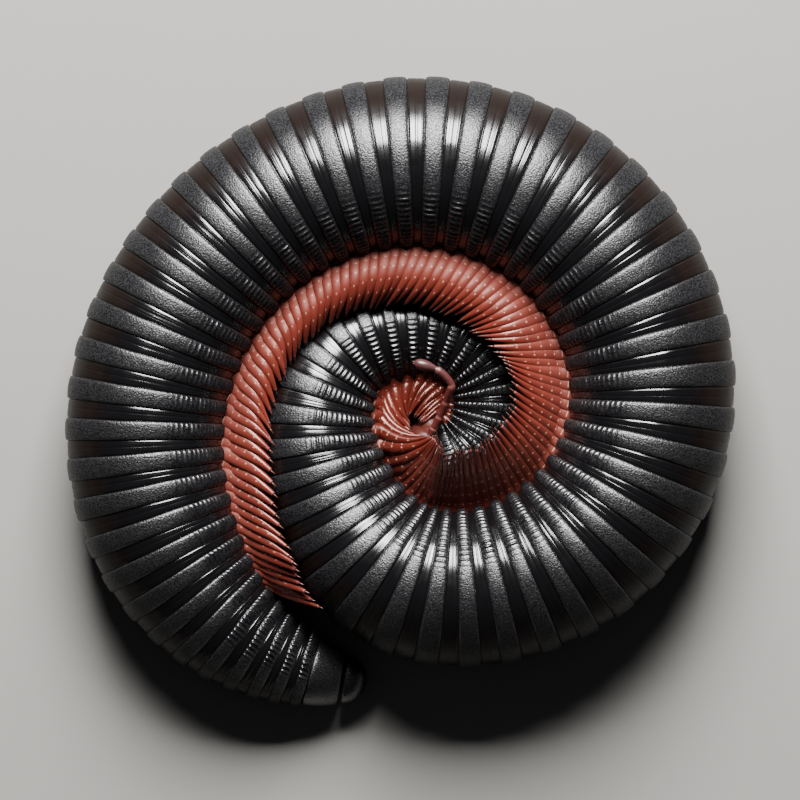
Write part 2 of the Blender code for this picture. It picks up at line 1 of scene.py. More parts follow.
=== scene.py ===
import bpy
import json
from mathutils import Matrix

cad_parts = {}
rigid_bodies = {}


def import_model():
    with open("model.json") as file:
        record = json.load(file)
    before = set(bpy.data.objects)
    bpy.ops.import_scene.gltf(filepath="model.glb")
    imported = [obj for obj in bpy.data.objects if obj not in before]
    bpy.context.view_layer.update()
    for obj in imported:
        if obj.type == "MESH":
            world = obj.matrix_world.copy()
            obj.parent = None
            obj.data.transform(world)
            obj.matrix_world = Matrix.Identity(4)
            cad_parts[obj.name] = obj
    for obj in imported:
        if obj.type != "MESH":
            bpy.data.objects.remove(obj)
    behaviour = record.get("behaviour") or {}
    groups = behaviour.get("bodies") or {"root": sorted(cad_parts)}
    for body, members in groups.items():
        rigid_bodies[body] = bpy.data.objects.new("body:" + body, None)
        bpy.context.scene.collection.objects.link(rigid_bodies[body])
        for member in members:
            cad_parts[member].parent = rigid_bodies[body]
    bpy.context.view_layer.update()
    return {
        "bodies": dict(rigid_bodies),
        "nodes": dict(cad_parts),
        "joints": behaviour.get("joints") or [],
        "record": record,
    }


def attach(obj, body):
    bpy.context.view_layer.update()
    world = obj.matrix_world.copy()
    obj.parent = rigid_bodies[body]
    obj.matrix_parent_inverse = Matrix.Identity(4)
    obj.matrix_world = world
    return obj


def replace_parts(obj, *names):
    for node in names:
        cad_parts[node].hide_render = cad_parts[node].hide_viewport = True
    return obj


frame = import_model()

import copy
import json
import math

import bpy
import numpy as np
from mathutils import Matrix, Vector

# All lengths are in millimetres until they are placed.
MM = 0.001
# The coil's centre beside the origin.
SHIFT = Vector((-0.0526588, -0.722731, 0.0))
UP = Vector((0.0, 0.0, 1.0))

# The body's middle line from tail to head. Each station gives the direction from the
# coil's centre in degrees, the distance from it, the body's radius and one ring's length.
STATIONS = (
    (266, 26.3, 1.2, 1.5), (262, 26.5, 2, 1.5), (250, 26.9, 3.6, 1.6), (238, 26.8, 4.95, 1.9),
    (225, 26.2, 6.1, 2.4), (210, 25.3, 7.05, 2.8), (180, 23.4, 7.6, 3), (150, 21.8, 7.75, 2.85),
    (120, 21.4, 7.9, 2.8), (90, 21.9, 8.15, 2.95), (45, 23.1, 8.2, 3.1), (0, 23.4, 7.9, 3.15),
    (-30, 22.1, 7.7, 2.9), (-60, 19.6, 7.45, 2.75), (-90, 16.5, 7.15, 2.75),
    (-120, 11.6, 6.3, 2.65), (-150, 9, 5.95, 2.55), (-185, 7.4, 5.45, 2.6), (-225, 6.6, 4.85, 2.35),
    (-270, 6.35, 4.5, 1.95), (-315, 7.7, 4.25, 1.85), (-345, 8.8, 4.1, 1.6),
    (-378, 8.75, 3.95, 1.4), (-398, 8.2, 3.85, 1.25), (-413, 7.55, 3.7, 1.2), (-429, 6.2, 3.1, 1.2),
)

# The legs, by direction from the coil's centre: how far they reach in past the body's
# belly side, how far they trail toward the tail half way in and at their tips, at what
# turn their knees stand, and how high they lie half way in and at their tips.
LEG_STATIONS = (
    (262, 1.2, 1.8, 4, 12, 2, 2.2), (232, 1.8, 1.8, 4.2, 12, 2.2, 2.4),
    (222, 2.6, 1.7, 4, 11, 2.2, 2.6), (204, 3.5, 1.5, 3.7, 9, 2.2, 2.8),
    (190, 4.3, 1, 2.6, 9, 2.3, 2.8), (175, 4.3, 0.9, 2.4, 10, 2.5, 2.7),
    (150, 3.9, 0.9, 2.5, 13, 2.8, 2.1), (117, 4.1, 1, 2.7, 15, 2.8, 1.3),
    (80, 5.1, 0.8, 2.2, 15, 2.9, 1.2), (56, 5.4, 0.6, 1.8, 14, 3, 1.5),
    (38, 5.6, 0.6, 1.6, 13, 3.1, 2.1), (30, 5.6, 0.6, 1.7, 12, 3.1, 2.6),
    (24, 5.5, 0.7, 1.9, 11, 2.9, 3.2), (14, 5.4, 0.8, 2.1, 10, 2.8, 3.7),
    (0, 5.3, 0.6, 1.8, 9, 2.8, 4), (-21, 5.1, 0.4, 1.1, 5, 2.6, 4.2),
    (-35, 5.4, 0.3, 0.8, 0, 2.6, 4.9), (-51, 5.3, 0.1, 0.3, -4, 2.5, 5.4),
    (-65, 5.5, 0.1, 0.2, -7, 2.3, 5.6), (-82, 5.3, 0.1, 0.2, -9, 2.1, 5.6),
    (-120, 3.4, 0.8, 1.6, -6, 1.9, 4.6), (-150, 3, 0.5, 1, 6, 1.9, 2), (-270, 3, 0, 0, 10, 2.3, 2),
    (-345, 1.9, 0.4, 0.8, 10, 1.75, 2), (-398, 1.1, 0.3, 0.6, 10, 1.75, 2),
    (-413, 0.9, 0.2, 0.4, 10, 1.75, 2),
)

# Where the tips of the inner legs gather: direction of the ring, the tip's place from
# the coil's centre and its height, and how far the leg bows toward the tail.
HUB_TIPS = (
    (-76, 4.3, -5.1, 12.4, 0.1), (-90, 3.8, -4.9, 12.1, 0.2), (-100, 3.75, -4.4, 11.7, 0.3),
    (-113, 3.6, -3.9, 11, 0.5), (-125, 3.3, -3.5, 10.2, 0.65), (-140, 3.1, -3.35, 9.2, 0.7),
    (-165, 2.4, -3.3, 8.4, 0.7), (-190, 1.6, -3.25, 7.6, 0.6), (-212, 0.95, -3.1, 7, 0.5),
    (-240, 0.95, -2.6, 6.4, 0.45), (-262, 0.75, -1.8, 6, 0.3), (-290, 0.75, -1.3, 5.9, 0.2),
    (-316, 0.95, -1.35, 6, 0.2), (-326, 1.25, -1.45, 6, 0.15), (-340, 1.7, -1.6, 6.1, 0.1),
    (-356, 2, -1.9, 6.1, 0.1), (-372, 2.4, -2.1, 6.2, 0.1),
)
HUB_FROM = -70
HUB_FULL = -96
HUB_END = -376

# The line is sampled from ahead of the collum to past the tail, and eased over a few angles.
LINE_FROM = -425
LINE_TO = 276
LINE_STEP = 0.5
EASE_OFFSETS = (-12, -6, 0, 6, 12)
COLLUM_BACK = -405.5
TELSON_FRONT = 251
RINGS_PER_LENGTH = 5

# Rings
RIB_COLUMNS = 264
PLAIN_COLUMNS = 56
# How far from the belly line ribs go, on a wide body and on the narrow inner turn, and
# the body radii between which the one becomes the other.
WIDE_RIB_TURN = 80
NARROW_RIB_TURN = 114
NARROW_RADII = (6, 5.2)
RIB_FADE_TURN = 22
RIB_END_TURN = 2
RIB_SPACING = 0.53
LEAST_RIBS = 8
RIB_SHARPNESS = 4
RIB_STRENGTHS = (0.6, 1.3)
WIDE_RIB_HEIGHT = 0.15
NARROW_RIB_HEIGHT = 0.19
# A body of this radius has the full depths of the rows below, a thin one only this share.
FULL_RING_RADIUS = 8
LEAST_RELIEF = 0.4
# The front band's share of a ring on the back and at the belly.
BACK_SHARE = 0.45
BELLY_SHARE = 0.3
SHARE_WANDER = 0.015
GRAIN_HEIGHT = 0.005
# Turns from the belly line between which the share, the depths, the rims' warm colour and
# the back's colour change.
SHARE_TURNS = (10, 120)
DEPTH_TURNS = (100, 60)
RIM_TURNS = (8, 24)
BACK_TURNS = (112, 140)
# Where the warm rim starts on the raised band, and where the band itself does.
RIM_START = 0.86
BAND_START = 0.02
# How far apart the fine lines of two rings may start.
LINES_OFFSET = 40
# Rows of a ring's smooth front band: place in it and depth.
FRONT_ROWS = (
    (0.01, 0.3), (0.06, 0.24), (0.16, 0.215), (0.27, 0.205), (0.38, 0.2), (0.44, 0.2),
    (0.475, 0.225), (0.51, 0.2), (0.6, 0.195), (0.72, 0.19), (0.84, 0.19), (0.94, 0.2),
    (0.98, 0.29),
)
# Rows of its raised band: place in it, depth on the back and at the belly, rib strength.
RAISED_ROWS = (
    (0, 0.27, 0.28, 0), (0.03, 0.15, 0.2, 0.1), (0.08, 0.08, 0.14, 0.4), (0.16, 0.04, 0.085, 0.75),
    (0.27, 0.016, 0.04, 1), (0.4, 0.004, 0.01, 1), (0.53, 0, 0, 1), (0.66, 0.004, 0.012, 1),
    (0.78, 0.016, 0.045, 0.85), (0.88, 0.04, 0.095, 0.6), (0.95, 0.08, 0.155, 0.25),
    (0.99, 0.15, 0.21, 0), (1, 0.22, 0.26, 0), (0.975, 0.29, 0.31, 0),
)
RING_ROWS = [(False, place, depth, depth, 0) for place, depth in FRONT_ROWS]
RING_ROWS += [(True, *row) for row in RAISED_ROWS]
# A length starts inside the length before it and ends in a shallow socket for the next.
PLUG_LENGTH = 0.3
PLUG_DEPTH = 0.34
SOCKET_LENGTH = 0.36
SOCKET_DEPTH = 0.92 * PLUG_DEPTH
# What the shell's colours and gloss go by, given for each point.
SHELL_VALUES = ("raised", "rim", "along", "back", "ribbed")

# Collum and head
COLLUM_LENGTH = 2.1
COLLUM_TURN = 26
# Rows of the collum: place along it, share of the body's radius, rib strength.
COLLUM_ROWS = (
    (-0.05, 0.93, 0), (0, 0.955, 0), (0.02, 0.985, 0.2), (0.06, 1, 0.6), (0.2, 1, 1),
    (0.4, 0.99, 1), (0.55, 0.98, 1), (0.7, 0.96, 1), (0.82, 0.93, 0.8), (0.9, 0.905, 0.5),
    (0.95, 0.89, 0.2), (0.99, 0.86, 0), (0.97, 0.8, 0),
)
COLLUM_RIB_TURN = 7
COLLUM_RIB_HEIGHT = 0.13
COLLUM_RIM_SHARE = 0.9
HEAD_LONG = 2.25
HEAD_DEEP = 3.05
HEAD_HALF_HEIGHT = 3.3
HEAD_LIFT = 0.55
HEAD_AHEAD = 1.45
HEAD_SIDEWAYS = 1.35
HEAD_TURN = 28
HEAD_GAP = 0.3
HEAD_GRID = (96, 72)
# Cheek lobes and mouth plate: place ahead, up and as a share of the head's depth, sizes,
# columns and rows, depth of the cleft in the middle, paleness.
HEAD_LUMPS = (
    (0.35, 1.15, 0.72, (1.15, 1.2, 1.25), (40, 28), 0, 0.25),
    (0.35, -1.15, 0.72, (1.15, 1.2, 1.25), (40, 28), 0, 0.25),
    (0.2, 0, 0.93, (0.75, 1.7, 0.95), (48, 30), 0.12, 0.35),
)
NECK_ROWS = 8
NECK_SIDES = 48
NECK_START = 0.4
NECK_BODY_SHARE = 0.7
NECK_HEAD_RADIUS = 2.2
NECK_FOLD = 0.03

# Eyes: the patch's place as a share of the head's depth and length, and its half sizes;
# the small eyes on it, in rows.
EYE_PLACE = 0.1
EYE_PROUD = 0.02
EYE_SIZES = (0.62, 0.45, 0.12)
EYE_GRID = (36, 18)
EYE_ROWS = range(-3, 4)
EYE_COLUMNS = range(-4, 5)
COLUMN_SPACING = 0.135
ROW_SPACING = 0.118
EYE_MARGIN = 0.12
DOME_SIZES = (0.062, 0.062, 0.05)
DOME_GRID = (10, 7)

# Legs
LEG_MOST_RADIUS = 0.84
LEG_LEAST_RADIUS = 0.28
LEG_PACKING = 0.79
LEG_FLATNESS = 0.56
# The turn a leg leaves the body at, for the turn of its knee.
KNEE_TURNS = (-9, 0, 7, 14, 30)
ROOT_TURNS = (-20, -9, 14, 14, 30)
LOWER_KNEE_TURN = 6
KNEE_WANDER = 0.5
LEG_ROOT_DEPTH = 0.85
LEG_KNEE_RISE = 0.42
# How much the root already leans with the leg's trail.
ROOT_LEAN = 0.75
LEAST_LEAN_LENGTH = 0.6
# The middle of a leg has these shares of its reach and sway.
MIDDLE_REACH = 0.52
MIDDLE_SWAY = 0.3
REACH_SHARES = (0.96, 1.03)
# The legs of the lower side beside those of the upper one: reach, height, height in the hub.
LOW_LEG_REACH = 0.8
LOW_LEG_SHARE = 0.5
LOW_TIP_SHARE = 0.4
# How much lower a ring's second leg lies where legs are crowded, in degrees at its knee
# and in millimetres further out. They are where less room is left round the centre.
SECOND_LEG_DROP = 9
SECOND_LEG_LOWER = 0.7
CROWDED_ROOM = 3
HUB_TIP_WANDER = 0.07
HUB_LEG_ARCH = 0.3
# Legs are lifted clear of the coil and the head. The tip gives way past a share of the
# leg, its middle before it, and the first points stay in the body.
LEG_CLEARANCE = 0.36
OWN_TURN = 60
SECTION_REACH = 0.9
SECTIONS_PER_RING = 3
COLLUM_SECTIONS = (0.4, 0.9)
LIFT_ROUNDS = 4
LIFT_PLACES = np.array((0.3, 0.45, 0.6, 0.75, 0.88, 1))
TIP_PLACE = 0.7
LIFT_SHARE = 0.9
SUNK_POINTS = 3
FIRST_LEGGED_RING = 1
LEGLESS_TAIL_RINGS = 4
ONE_PAIR_RINGS = 3
LEG_SIDES = 16
CURVE_POINTS = 11
LEG_POINTS = 25
LEG_JOINTS = (0, 0.11, 0.24, 0.38, 0.53, 0.70, 0.985)
TAPER_START = 0.42
TAPER_CURVE = 1.5
TAPER = 0.74
# One joint's outline: place along it, its width and the strength of its pale spot, a highlight painted on
# the joint's top.
JOINT_ROWS = (
    (0, 0.985, 0.6), (0.05, 0.987, 0.1), (0.14, 0.99, 0), (0.4, 0.992, 0), (0.7, 0.997, 0),
    (0.87, 1.002, 0), (0.94, 1.006, 0.3), (0.985, 1, 0.8),
)
JOINT_RIM = 0.1
# Legs grow finer, rounder and glossier from the outer turn to the inner one, and darker there as painted
# shade; each leg also gets a random darker tone.
FINE_ANGLES = (60, 150)
FINE_ROUNDNESS = 0.8
FINE_SHADE = 0.65
SHADE_WANDER = 0.35
# Shares of a leg where its wide painted highlight spots at the root end, where its gloss sets in,
# where its matt root ends and where its tip turns pale.
ROOT_GLINT_END = (0.13, 0.2)
ROOT_GLINT_WIDTH = 0.065
GLOSS_SET_IN = (0.3, 0.75)
MATT_ROOT_END = (0.08, 0.22)
MATT_ROOT = 0.6
TIP_START = (0.93, 0.985)
TIP_PALENESS = 0.4
# Claws: the first row is sunk in the leg's tip.
CLAW_LENGTH = 0.48
CLAW_RADIUS = 0.1
CLAW_ROWS = 6
CLAW_SIDES = 6
CLAW_START = -0.2
CLAW_DROP = 0.12
CLAW_FLOOR = 0.05
CLAW_TAPER = 0.85
CLAW_CURVE = 1.3
FINE_CLAW_SHORTER = 0.45
FINE_CLAW_THINNER = 0.4
# How far groups of legs lean together: size, and number of legs in a swing.
LEG_SWAY = ((0.2, 7.3), (0.16, 11.9))
LEG_WANDER = 0.05
HUB_CALM = 0.8

# Feelers
RIGHT_FEELER = ((4.1, -0.8, 7.6), (4.7, 1, 9), (4.9, 1.5, 9.2), (3.5, 2.95, 9.4), (1.15, 3.5, 9.4))
LEFT_FEELER = ((4, -1.4, 0.7), (3.4, 0.6, 0.7), (1.6, 1.5, 0.7))
FEELER_BASE = 1.6
# Places along a feeler where its joints end.
FEELER_JOINTS = (0, 0.07, 0.2, 0.37, 0.56, 0.77, 0.985)
FEELER_RADIUS = 0.37
CLUB_RADIUS = 0.5
FEELER_SIDES = 20
# Outlines of a feeler's joints and of its thick end joint: place along it and width.
FEELER_ROWS = ((0, 0.88), (0.08, 0.89), (0.3, 0.93), (0.6, 0.98), (0.82, 1.03), (0.94, 1.01))
CLUB_ROWS = (
    (0, 0.52), (0.06, 0.54), (0.2, 0.68), (0.38, 0.9), (0.56, 1.02), (0.74, 1), (0.87, 0.84),
    (0.95, 0.62), (1, 0.3),
)
CLUB_START = (0.45, 0.85)
# Four small cones on a feeler's end: place off its middle, and rows along with their radii.
CONE_OFFSET = 0.08
CONE_STEPS = (-0.08, 0.03, 0.09, 0.12)
CONE_RADII = (0.06, 0.055, 0.04, 0.015)
CONE_SIDES = 8

# Tail
TELSON_LENGTH = 3
# Rows of the telson: place along it and depth.
TELSON_ROWS = (
    (0, 0.36), (0.03, 0.2), (0.08, 0.1), (0.2, 0.04), (0.5, 0), (0.8, 0.02), (0.92, 0.05),
    (0.97, 0.1), (1, 0.2), (0.97, 0.3),
)
VALVE_GAP = 0.3
VALVE_SIZE = 0.94
VALVE_GRID = (64, 40)
VALVE_RIM_WIDTH = 0.15

# Floor and light, in metres, degrees and watts
FLOOR_HALF = 0.6
SKY_COLOUR = (0.9, 0.93, 1, 1)
SKY_STRENGTH = 0.04
KEY_ELEVATION = 43
KEY_DISTANCE = 0.3
KEY_SIZE = 0.16
KEY_POWER = 5

# Camera
PHOTO_WIDTH = 74.4
CAMERA_DISTANCE = 700
CAMERA_AIM = 8
SENSOR = 36

RANDOM = np.random.default_rng(41)


def smooth_value(table, angle, column):
    """A column of a station table at any angle, by a smooth curve through its rows."""
    last = len(table) - 2
    row = 0
    while row < last and table[row + 1][0] > angle:
        row += 1

    def slope(i):
        low = max(i - 1, 0)
        high = min(i + 1, len(table) - 1)
        return (table[high][column] - table[low][column]) / (table[high][0] - table[low][0])

    start = table[row]
    end = table[row + 1]
    span = end[0] - start[0]
    t = min(max((angle - start[0]) / span, 0.0), 1.0)
    a = start[column]
    b = end[column]
    m = slope(row) * span
    n = slope(row + 1) * span
    return (
        (2 * t**3 - 3 * t**2 + 1) * a
        + (t**3 - 2 * t**2 + t) * m
        + (3 * t**2 - 2 * t**3) * b
        + (t**3 - t**2) * n
    )


def line_point(angle):
    """The point of the body's line, on the floor, in a direction from the coil's centre."""
    samples = [smooth_value(STATIONS, angle + offset, 1) for offset in EASE_OFFSETS]
    distance = sum(samples) / len(samples)
    turn = math.radians(angle)
    return Vector((distance * math.cos(turn), distance * math.sin(turn), 0.0)) + SHIFT


class Frame:
    """One cross-section of the body: its middle, radius, headward and belly directions."""

    def __init__(self, angle):
        ahead = line_point(angle - LINE_STEP)
        behind = line_point(angle + LINE_STEP)
        self.angle = angle
        self.radius = smooth_value(STATIONS, angle, 2)
        self.middle = line_point(angle) + UP * self.radius
        self.forward = (ahead - behind).normalized()
        self.belly = Vector((self.forward.y, -self.forward.x, 0.0))

    def ahead(self, length, degrees):
        """A copy moved on toward the head and turned to the belly side."""
        made = copy.copy(self)
        half = Matrix.Rotation(math.radians(-degrees / 2), 3, "Z")
        made.middle = self.middle + half @ self.forward * length
        made.forward = half @ half @ self.forward
        made.belly = half @ half @ self.belly
        return made

    def at(self, turn, distance, along):
        """A point at a turn from the belly side toward the top."""
        a = math.radians(turn)
        out = self.belly * (math.cos(a) * distance) + UP * (math.sin(a) * distance)
        return self.middle + out + self.forward * along

    def place(self, along, inward, height):
        """A point by its distances ahead, toward the belly side and up."""
        return self.middle + self.forward * along + self.belly * inward + UP * height


def angle_after(angle, length):
    """The station angle reached after going a length toward the head, or back if negative."""
    step = LINE_STEP if length > 0 else -LINE_STEP
    left = abs(length)
    here = line_point(angle)
    while left > 0:
        there = line_point(angle - step)
        stretch = (there - here).length
        if stretch >= left:
            return angle - step * left / stretch
        left -= stretch
        angle -= step
        here = there
    return angle


def ring_edges():
    """The station angle of each ring's edges, from behind the collum back to the telson."""
    edges = [COLLUM_BACK]
    while edges[-1] < TELSON_FRONT:
        length = smooth_value(STATIONS, edges[-1], 3)
        edges.append(angle_after(edges[-1], -length))
    return edges


class Line:
    """The body's middle line sampled finely, so that many points are placed at once."""

    def __init__(self):
        self.angles = np.arange(LINE_FROM, LINE_TO, LINE_STEP)
        frames = [Frame(float(a)) for a in self.angles]
        self.middle = np.array([frame.middle[:] for frame in frames])
        self.forward = np.array([frame.forward[:] for frame in frames])
        self.radius = np.array([frame.radius for frame in frames])

    def read(self, angles, rows):
        columns = [np.interp(angles, self.angles, rows[:, i]) for i in range(rows.shape[1])]
        return np.stack(columns, axis=-1)

    def radius_at(self, angles):
        return np.interp(angles, self.angles, self.radius)

    def points(self, angles, turns, distance, along=0.0):
        """Points round the body, at a turn from the belly side toward the top."""
        middle = self.read(angles, self.middle)
        forward = self.read(angles, self.forward)
        forward /= np.linalg.norm(forward, axis=-1, keepdims=True)
        belly = np.stack((forward[..., 1], -forward[..., 0], 0.0 * forward[..., 2]), axis=-1)
        turn = np.radians(turns)
        made = middle + belly * (np.cos(turn) * distance)[..., None]
        made[..., 2] += np.sin(turn) * distance
        return made + forward * along


def put(name, data):
    """A new object in the scene."""
    obj = bpy.data.objects.new(name, data)
    bpy.context.scene.collection.objects.link(obj)
    return obj


class Shape:
    """Points, faces and a few values for each point, gathered into one object."""

    def __init__(self, *names):
        self.points = []
        self.quads = []
        self.tris = []
        self.values = {name: [] for name in names}
        self.count = 0

    def add(self, points, **values):
        """Add points, none of them under the floor, and give back the first one's number."""
        points = np.array(points, dtype=float).reshape(-1, 3)
        points[:, 2] = np.maximum(points[:, 2], 0.0)
        self.points.append(points)
        for name in self.values:
            given = np.asarray(values.get(name, 0.0), dtype=float)
            self.values[name].append(np.broadcast_to(given.reshape(-1), (len(points),)))
        start = self.count
        self.count += len(points)
        return start

    def add_rows(self, rows, **values):
        """Skin a grid of closed rows, with its two ends closed by a point in the middle."""
        rows = np.asarray(rows, dtype=float)
        count, around = rows.shape[:2]
        flat = {name: np.broadcast_to(given, (count, around)) for name, given in values.items()}
        start = self.add(rows, **{name: given.reshape(-1) for name, given in flat.items()})
        row = np.arange(count - 1)[:, None] * around
        here = np.arange(around)[None, :]
        after = (here + 1) % around
        quads = np.stack((row + here, row + after, row + around + after, row + around + here), -1)
        self.quads.append(start + quads.reshape(-1, 4))
        for end in (0, 1):
            tip = self.add(rows[-end].mean(axis=0), **{name: flat[name][-end].mean() for name in flat})
            base = start + (count - 1) * around * end
            ring = (base + here[0], base + after[0])
            self.tris.append(np.stack((ring[1 - end], ring[end], np.full(around, tip)), -1))

    def make(self, name, look):
        points = np.concatenate(self.points) * MM
        quads = np.concatenate(self.quads)
        tris = np.concatenate(self.tris)
        mesh = bpy.data.meshes.new(name)
        mesh.vertices.add(len(points))
        mesh.vertices.foreach_set("co", points.astype(np.float32).ravel())
        corners = np.concatenate((quads.ravel(), tris.ravel())).astype(np.int32)
        starts = np.concatenate((np.arange(len(quads)) * 4, len(quads) * 4 + np.arange(len(tris)) * 3))
        mesh.loops.add(len(corners))
        mesh.loops.foreach_set("vertex_index", corners)
        mesh.polygons.add(len(starts))
        mesh.polygons.foreach_set("loop_start", starts.astype(np.int32))
        mesh.update(calc_edges=True)
        mesh.validate()
        mesh.polygons.foreach_set("use_smooth", np.ones(len(starts), dtype=bool))
        for key in self.values:
            layer = mesh.attributes.new(key, "FLOAT", "POINT")
            layer.data.foreach_set("value", np.concatenate(self.values[key]).astype(np.float32))
        mesh.materials.append(look)
        obj = put(name, mesh)
        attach(obj, "root")
        return obj


# Materials

# The mix node's share and two colours, and its resulting colour, by their numbers.
MIX_INPUTS = (0, 6, 7)
MIX_OUTPUT = 2


class Look:
    """A material whose colour, gloss and fine relief come from nodes."""

    def __init__(self, name):
        self.made = bpy.data.materials.new(name)
        self.made.use_nodes = True
        self.nodes = self.made.node_tree.nodes
        self.links = self.made.node_tree.links
        self.shader = self.nodes["Principled BSDF"]
        self.place = self.node("TexCoord").outputs["Object"]

    def feed(self, socket, value):
        """Link a node's result to a socket, or give it a fixed number or colour."""
        if isinstance(value, bpy.types.NodeSocket):
            self.links.new(value, socket)
        elif isinstance(value, tuple) and len(value) == 3:
            socket.default_value = (*value, 1.0)
        else:
            socket.default_value = value

    def set(self, socket, value):
        self.feed(self.shader.inputs[socket], value)

    def node(self, kind, **sockets):
        """A new node with some of its input sockets fed."""
        made = self.nodes.new("ShaderNode" + kind)
        for name, value in sockets.items():
            self.feed(made.inputs[name.replace("_", " ")], value)
        return made

    def value(self, name):
        """One of the values given for each point of a shape."""
        node = self.node("Attribute")
        node.attribute_name = name
        return node.outputs["Fac"]

    def noise(self, size, detail=3.0):
        """Cloudy variation with spots of a size in millimetres."""
        node = self.node("TexNoise", Vector=self.place, Scale=1.0 / (size * MM), Detail=detail)
        return node.outputs["Fac"]

    def stripes(self, place, width):
        """Uneven fine lines across a length, about a width in millimetres each."""
        node = self.node("TexNoise", Scale=1.0 / width, Detail=1.0)
        node.noise_dimensions = "1D"
        self.feed(node.inputs["W"], place)
        return node.outputs["Fac"]

    def cells(self, size):
        """Small round dimples of a size in millimetres."""
        return self.node("TexVoronoi", Vector=self.place, Scale=1.0 / (size * MM)).outputs["Distance"]

    def math(self, kind, *values):
        node = self.node("Math")
        node.operation = kind
        for i, value in enumerate(values):
            self.feed(node.inputs[i], value)
        return node.outputs[0]

    def span(self, value, low, high, to_low=0.0, to_high=1.0):
        """A value moved from one range to another and kept within it."""
        node = self.node("MapRange", Value=value, From_Min=low, From_Max=high, To_Min=to_low, To_Max=to_high)
        return node.outputs["Result"]

    def mix(self, *values):
        """A colour between two others; the values are the share, the first and the second."""
        node = self.node("Mix")
        node.data_type = "RGBA"
        for i, value in zip(MIX_INPUTS, values):
            self.feed(node.inputs[i], value)
        return node.outputs[MIX_OUTPUT]

    def relief(self, height, distance, strength=1.0):
        """Fine relief whose full height is a distance in millimetres."""
        node = self.node("Bump", Strength=strength, Distance=distance * MM, Height=height)
        self.set("Normal", node.outputs["Normal"])


def shell_look():
    """Matt, finely grained raised bands whose speckle is painted lighter toward the back as painted glints,
    and glossy, finely lined bands between them.
    """
    look = Look("shell_black")
    raised = look.value("raised")
    ribbed = look.value("ribbed")
    back = look.value("back")
    grain = look.noise(0.15, 1.0)
    # Grain speckle, painted lighter toward the back as painted glints on the grain.
    grains_and_painted_glints = look.mix(back, (0.009, 0.0085, 0.0095), (0.021, 0.0205, 0.0225))
    band = look.mix(look.span(grain, 0.42, 0.66), (0.0025, 0.0025, 0.003), grains_and_painted_glints)
    front = look.mix(back, (0.003, 0.0026, 0.003), (0.0055, 0.0026, 0.0018))
    warm = look.mix(look.noise(0.8), (0.07, 0.020, 0.007), (0.02, 0.006, 0.003))
    look.set("Base Color", look.mix(look.value("rim"), look.mix(raised, front, band), warm))
    sheen = look.math("MULTIPLY", ribbed, look.span(look.noise(0.9, 1.0), 0.35, 0.65, 0.1, 1.0))
    matt = look.span(look.noise(0.16, 1.0), 0.35, 0.65, 0.3, 0.5)
    matt = look.math("MULTIPLY_ADD", sheen, -0.18, matt)
    glossy = look.span(look.noise(1.5), 0.3, 0.7, 0.15, 0.24)
    glossy = look.math("MULTIPLY_ADD", back, 0.2, glossy)
    difference = look.math("SUBTRACT", matt, glossy)
    look.set("Roughness", look.math("MULTIPLY_ADD", difference, raised, glossy))
    look.set("Specular IOR Level", look.math("MULTIPLY_ADD", back, -0.65, 0.75))
    open_band = look.math("MULTIPLY_ADD", ribbed, -0.7, 1.0)
    coarse = look.math("MULTIPLY", look.math("MULTIPLY", grain, open_band), raised)
    smooth = look.math("SUBTRACT", 1.0, raised)
    lines = look.stripes(look.value("along"), 0.11)
    lined = look.math("MULTIPLY", look.math("MULTIPLY", lines, smooth), 0.36)
    look.relief(look.math("ADD", coarse, lined), 0.052)
    return look.made


def leg_look():
    """Brick red, matt at the root and glossy further out, with a highlight painted as a pale spot on each
    joint's top, and painted shade darkening the legs of the inner turn.
    """
    look = Look("leg_red")
    red = look.mix(look.noise(0.9), (0.090, 0.0145, 0.0095), (0.148, 0.027, 0.018))
    # The depth value darkens a leg: a random tone, and painted shade on the inner turn's legs.
    shaded_red = look.mix(look.value("depth"), red, (0.055, 0.0072, 0.004))
    # A pale spot painted as a highlight on the top crest of each joint.
    spot = look.math("MULTIPLY", look.value("joint"), look.span(look.value("crest"), 0.965, 0.99))
    pale = look.mix(spot, shaded_red, (0.58, 0.29, 0.215))
    look.set("Base Color", look.mix(look.value("tip"), pale, (0.25, 0.09, 0.08)))
    soft = look.span(look.noise(0.5), 0.3, 0.7, 0.5, 0.6)
    look.set("Roughness", look.math("MULTIPLY_ADD", look.value("sleek"), -0.32, soft))
    look.set("Specular Tint", (1.0, 0.62, 0.55))
    look.relief(look.noise(0.12, 2.0), 0.01, 0.4)
    return look.made


def claw_look():
    """Dark amber, darkened as painted shade on the fine legs of the inner turn."""
    look = Look("claw_amber")
    amber = look.mix(look.noise(0.3), (0.06, 0.016, 0.011), (0.13, 0.05, 0.035))
    # Painted shade: the depth value darkens the claws of the inner turn.
    look.set("Base Color", look.mix(look.value("depth"), amber, (0.04, 0.009, 0.007)))
    look.set("Roughness", 0.25)
    look.relief(look.noise(0.08, 2.0), 0.01, 0.4)
    return look.made


def head_look():
    """Dark reddish brown, finely dimpled, blackish on the crown and paler at the mouth."""
    look = Look("head_shell")
    red = look.mix(look.noise(1.4), (0.040, 0.009, 0.0065), (0.065, 0.014, 0.010))
    dark = look.mix(look.value("crown"), red, (0.012, 0.006, 0.006))
    look.set("Base Color", look.mix(look.value("pale"), dark, (0.12, 0.033, 0.022)))
    look.set("Roughness", look.span(look.noise(0.5), 0.3, 0.7, 0.3, 0.44))
    look.set("Specular IOR Level", 0.2)
    look.relief(look.cells(0.22), 0.03, 0.5)
    return look.made


